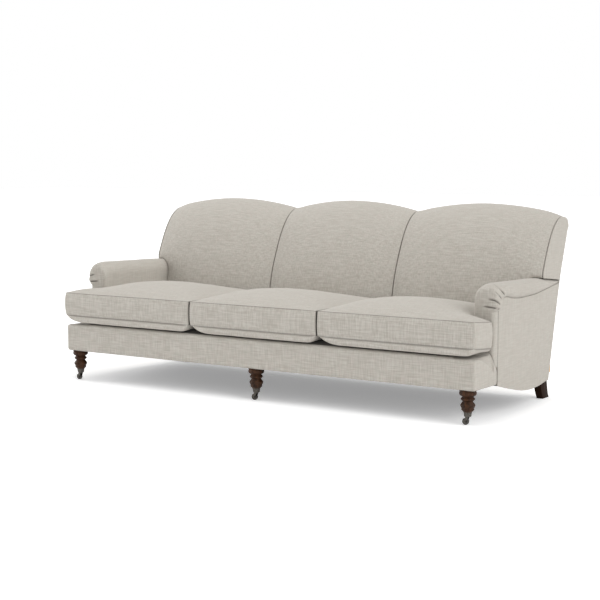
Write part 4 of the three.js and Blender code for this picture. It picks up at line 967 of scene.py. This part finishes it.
def crown_shares(xs, ys, filled, ear_from):
    """Height of a skin under even pressure, held down along the seams, as shares of the highest."""
    xs, ys = np.array(xs, float), np.array(ys, float)
    inside = np.zeros((len(xs), len(ys)), bool)
    for i in range(1, len(xs) - 1):
        for j in range(1, len(ys) - 1):
            inside[i, j] = all(filled(i + a, j + b) for a in (0, -1) for b in (0, -1))
    west, east = np.diff(xs)[:-1, None], np.diff(xs)[1:, None]
    south, north = np.diff(ys)[None, :-1], np.diff(ys)[None, 1:]
    wide, deep = (west + east) / 2, (south + north) / 2
    push = wide * deep * np.where(xs[1:-1, None] > ear_from, ear_push, 1.0)
    weight = deep * (1 / west + 1 / east) + wide * (1 / south + 1 / north)
    h = np.zeros((len(xs), len(ys)))
    for _ in range(crown_rounds):
        pulls = deep * (h[:-2, 1:-1] / west + h[2:, 1:-1] / east)
        pulls += wide * (h[1:-1, :-2] / south + h[1:-1, 2:] / north)
        h[1:-1, 1:-1] = np.where(inside[1:-1, 1:-1], (pulls + push) / weight, 0)
    settled = 1 - rear_loss * between(ys, 180, cushion_back) ** 1.2
    return (h / h.max()) ** crown_fullness * settled[None, :]


for name, side, start, end, ear in (("left", -1, 363.5, 1036, True), ("centre", 1, -354.5, 354.5, False),
                                    ("right", 1, 363.5, 1036, True)):
    xs = places_between(start, end, grid)
    corner_i = len(xs) - 1
    if ear:
        xs += places_between(end, ear_side + (left_ear_extra if side < 0 else 0), grid)[1:]
    ys = places_between(cushion_front, ear_back, grid, (2, 5, 9, 15, 24))
    corner_j = len(ys) - 1
    ys += places_between(ear_back, cushion_back, grid)[1:]

    def is_cloth(i, j):
        return i < corner_i or j < corner_j

    def beside_neighbour(j):
        """Whether the outer end meets a cushion or an arm there, and not the ear's open side."""
        return not ear or ys[j] > ear_back

    def rounded(i, j):
        """A place of the grid, moved in where the cushion's corners are round."""
        outer_x = xs[-1] if ys[j] <= ear_back else xs[corner_i]
        left, right = start + inner_corner, outer_x - (inner_corner if beside_neighbour(j) else corner)
        centre_x = np.clip(xs[i], left, right)
        rear = ear_back if xs[i] > end else cushion_back
        tight = xs[i] < left or (beside_neighbour(j) and xs[i] > right)
        front = cushion_front + (inner_corner if tight else corner)
        centre_y = np.clip(ys[j], front, rear - corner / 2)
        dx, dy = xs[i] - centre_x, ys[j] - centre_y
        keep = 1 if dx == 0 or dy == 0 else max(abs(dx), abs(dy)) / math.hypot(dx, dy)
        return centre_x + dx * keep, centre_y + dy * keep

    def droop(i, j):
        """The ear hangs lower towards its rear outer corner."""
        return ear_droop * between(xs[i], end, ear_side) * between(ys[j], cushion_front, ear_back)

    def outer(i, j):
        x, y = rounded(i, j)
        return spot(side * x, y, seam_high - droop(i, j) + crown_rise * crown[i][j])

    def inner(i, j):
        x, y = rounded(i, j)
        from_front, from_start = ys[j] - cushion_front, xs[i] - start
        from_right = xs[-1] - xs[i] if ear and ys[j] <= ear_back else end - xs[i]
        from_rear = (ear_back if xs[i] > end else cushion_back) - ys[j]
        from_edge = min(from_front, from_start, from_right, from_rear)
        round_x = max(0, foot_corner - min(from_start, from_right))
        round_y = max(0, foot_corner - from_front)
        if round_x and round_y:
            from_edge = foot_corner - math.hypot(round_x, round_y)
        seen_left, seen_right = (from_start, from_right) if side > 0 else (from_right, from_start)
        ends_share = min(curve_through(left_fill, seen_left), curve_through(right_fill, seen_right))
        filled_share = mix(ends_share, 1, between(from_front, 20, 130))
        bottom = deck_top + fit + 0.5 - curve_through(under_sag, from_front)
        fallen = curve_through(under_fall, from_edge) * filled_share
        y += curve_through(under_lip, from_front) * filled_share
        return spot(side * x, y, mix(seam_low - droop(i, j), bottom, fallen))

    def wall(i, j, share, out):
        """The boxed border: it bulges where it is free, and is pinched beside its two seams."""
        x, y = rounded(i, j)
        pinched = seam_pinch * (share in (wall_shares[0], wall_shares[-1]))
        bulge = border_bulge * math.sin(math.pi * share) ** 0.8 - pinched
        if out[0] > 0 and not beside_neighbour(j):
            x += bulge
        if out[1] < 0 or (out[1] > 0 and xs[i] < end):
            y += np.sign(out[1]) * bulge
        return spot(side * x, y, mix(seam_high, seam_low, share) - droop(i, j))

    def gap_painted_shade(i, j):
        """Painted shade in the gaps: the border is darkened just behind its front corners, where it meets the
        next cushion or the arm.
        """
        meets = i == 0 or (i == corner_i and beside_neighbour(j))
        return gap_shade_dark if meets and 4 < ys[j] - cushion_front < 45 else 0.0
    crown = crown_shares(xs, ys, is_cloth, end if ear else 1e9)
    cushion, numbers, outward = cover_body(
        f"seat_cushion_cover_{name}", len(xs) - 1, len(ys) - 1, outer, inner,
        lambda i, j, level: panel_dark, is_cloth, wall_shares, wall, gap_painted_shade)
    held = [n for (i, j, level), n in numbers.items() if level > 0 or (i, j) in outward]
    blow_up(cushion, held, pressure=2.0, cap=0.003)
    apply_modifier(cushion, "SUBSURF", levels=1, render_levels=1)
    settle_cloth(cushion, depth=0.0009, spacing=0.08)
    finish_cover(cushion, f"seat_cushion_{name}", body=f"cushion_{name}")


# Studio
# A seamless pale floor and backdrop, a soft sky of light all round, one large lamp above and
# two broad far lights, one from each side.
bpy.ops.object.select_all(action="DESELECT")
bpy.ops.mesh.primitive_plane_add(size=60, location=(0, 0, -0.0002))
floor = bpy.context.object
floor.name = "studio_floor"
pale_floor, tree, shader, place = new_finish("pale_studio_floor")
# The photograph's floor is paper white: what the camera and the metal see of it is lifted a little
rays = add_node(tree, "LightPath").outputs
seen = add_node(tree, "Math", {0: rays["Is Camera Ray"], 1: rays["Is Glossy Ray"]}, operation="MAXIMUM")
lift = add_node(tree, "Math", {0: seen, 1: 0.28}, operation="MULTIPLY")
feed(shader, {"Base Color": linear("#ffffff"), "Roughness": 0.95, "Specular IOR Level": 0.0,
              "Emission Color": linear("#ffffff"), "Emission Strength": lift})
coat(floor, pale_floor)

world = bpy.data.worlds.new("studio_light")
bpy.context.scene.world = world
world.use_nodes = True
tree = world.node_tree
tree.nodes.clear()
rays = add_node(tree, "LightPath").outputs
seen = add_node(tree, "Math", {0: rays["Is Camera Ray"], 1: rays["Is Glossy Ray"]}, operation="MAXIMUM")
seen = add_node(tree, "Math", {0: seen, 1: rays["Is Transmission Ray"]}, operation="MAXIMUM")
soft_sky = add_node(tree, "Background", {"Color": (1, 1, 1, 1), "Strength": 0.645})
white = add_node(tree, "Background", {"Color": (1, 1, 1, 1), "Strength": 1.0})
both = add_node(tree, "MixShader", {0: seen, 1: soft_sky, 2: white})
add_node(tree, "OutputWorld", {"Surface": both})

lamp_target, far_target, sun_angle = (-0.2, 0, 0.4), (0, 0, 0.4), math.radians(50)
for name, kind, place, aim, power, settings in (
        ("soft_box_above", "AREA", (-0.3, -0.4, 6.0), lamp_target, 60, {"size": 5.0}),
        ("far_light_right", "SUN", (5.0, -1.2, 3.6), far_target, 1.3, {"angle": sun_angle}),
        ("far_light_left", "SUN", (-5.0, -0.6, 2.0), far_target, 1.3, {"angle": sun_angle})):
    lamp = bpy.data.lights.new(name, kind)
    lamp.energy = power
    for setting, value in settings.items():
        setattr(lamp, setting, value)
    holder = bpy.data.objects.new(name, lamp)
    bpy.context.scene.collection.objects.link(holder)
    holder.location = place
    holder.rotation_euler = (Vector(aim) - Vector(place)).to_track_quat("-Z", "Y").to_euler()

# The camera stands where the fit to the photograph puts it
camera = bpy.data.cameras.new("camera")
camera.lens, camera.sensor_width = 84.8, 36
eye = bpy.data.objects.new("camera", camera)
bpy.context.scene.collection.objects.link(eye)
eye.location = (3.768, -5.684, 1.126)
eye.rotation_euler = (math.radians(90 - 5.85), 0, math.radians(33.92))
bpy.context.scene.camera = eye
bpy.context.scene.view_settings.view_transform = "Standard"
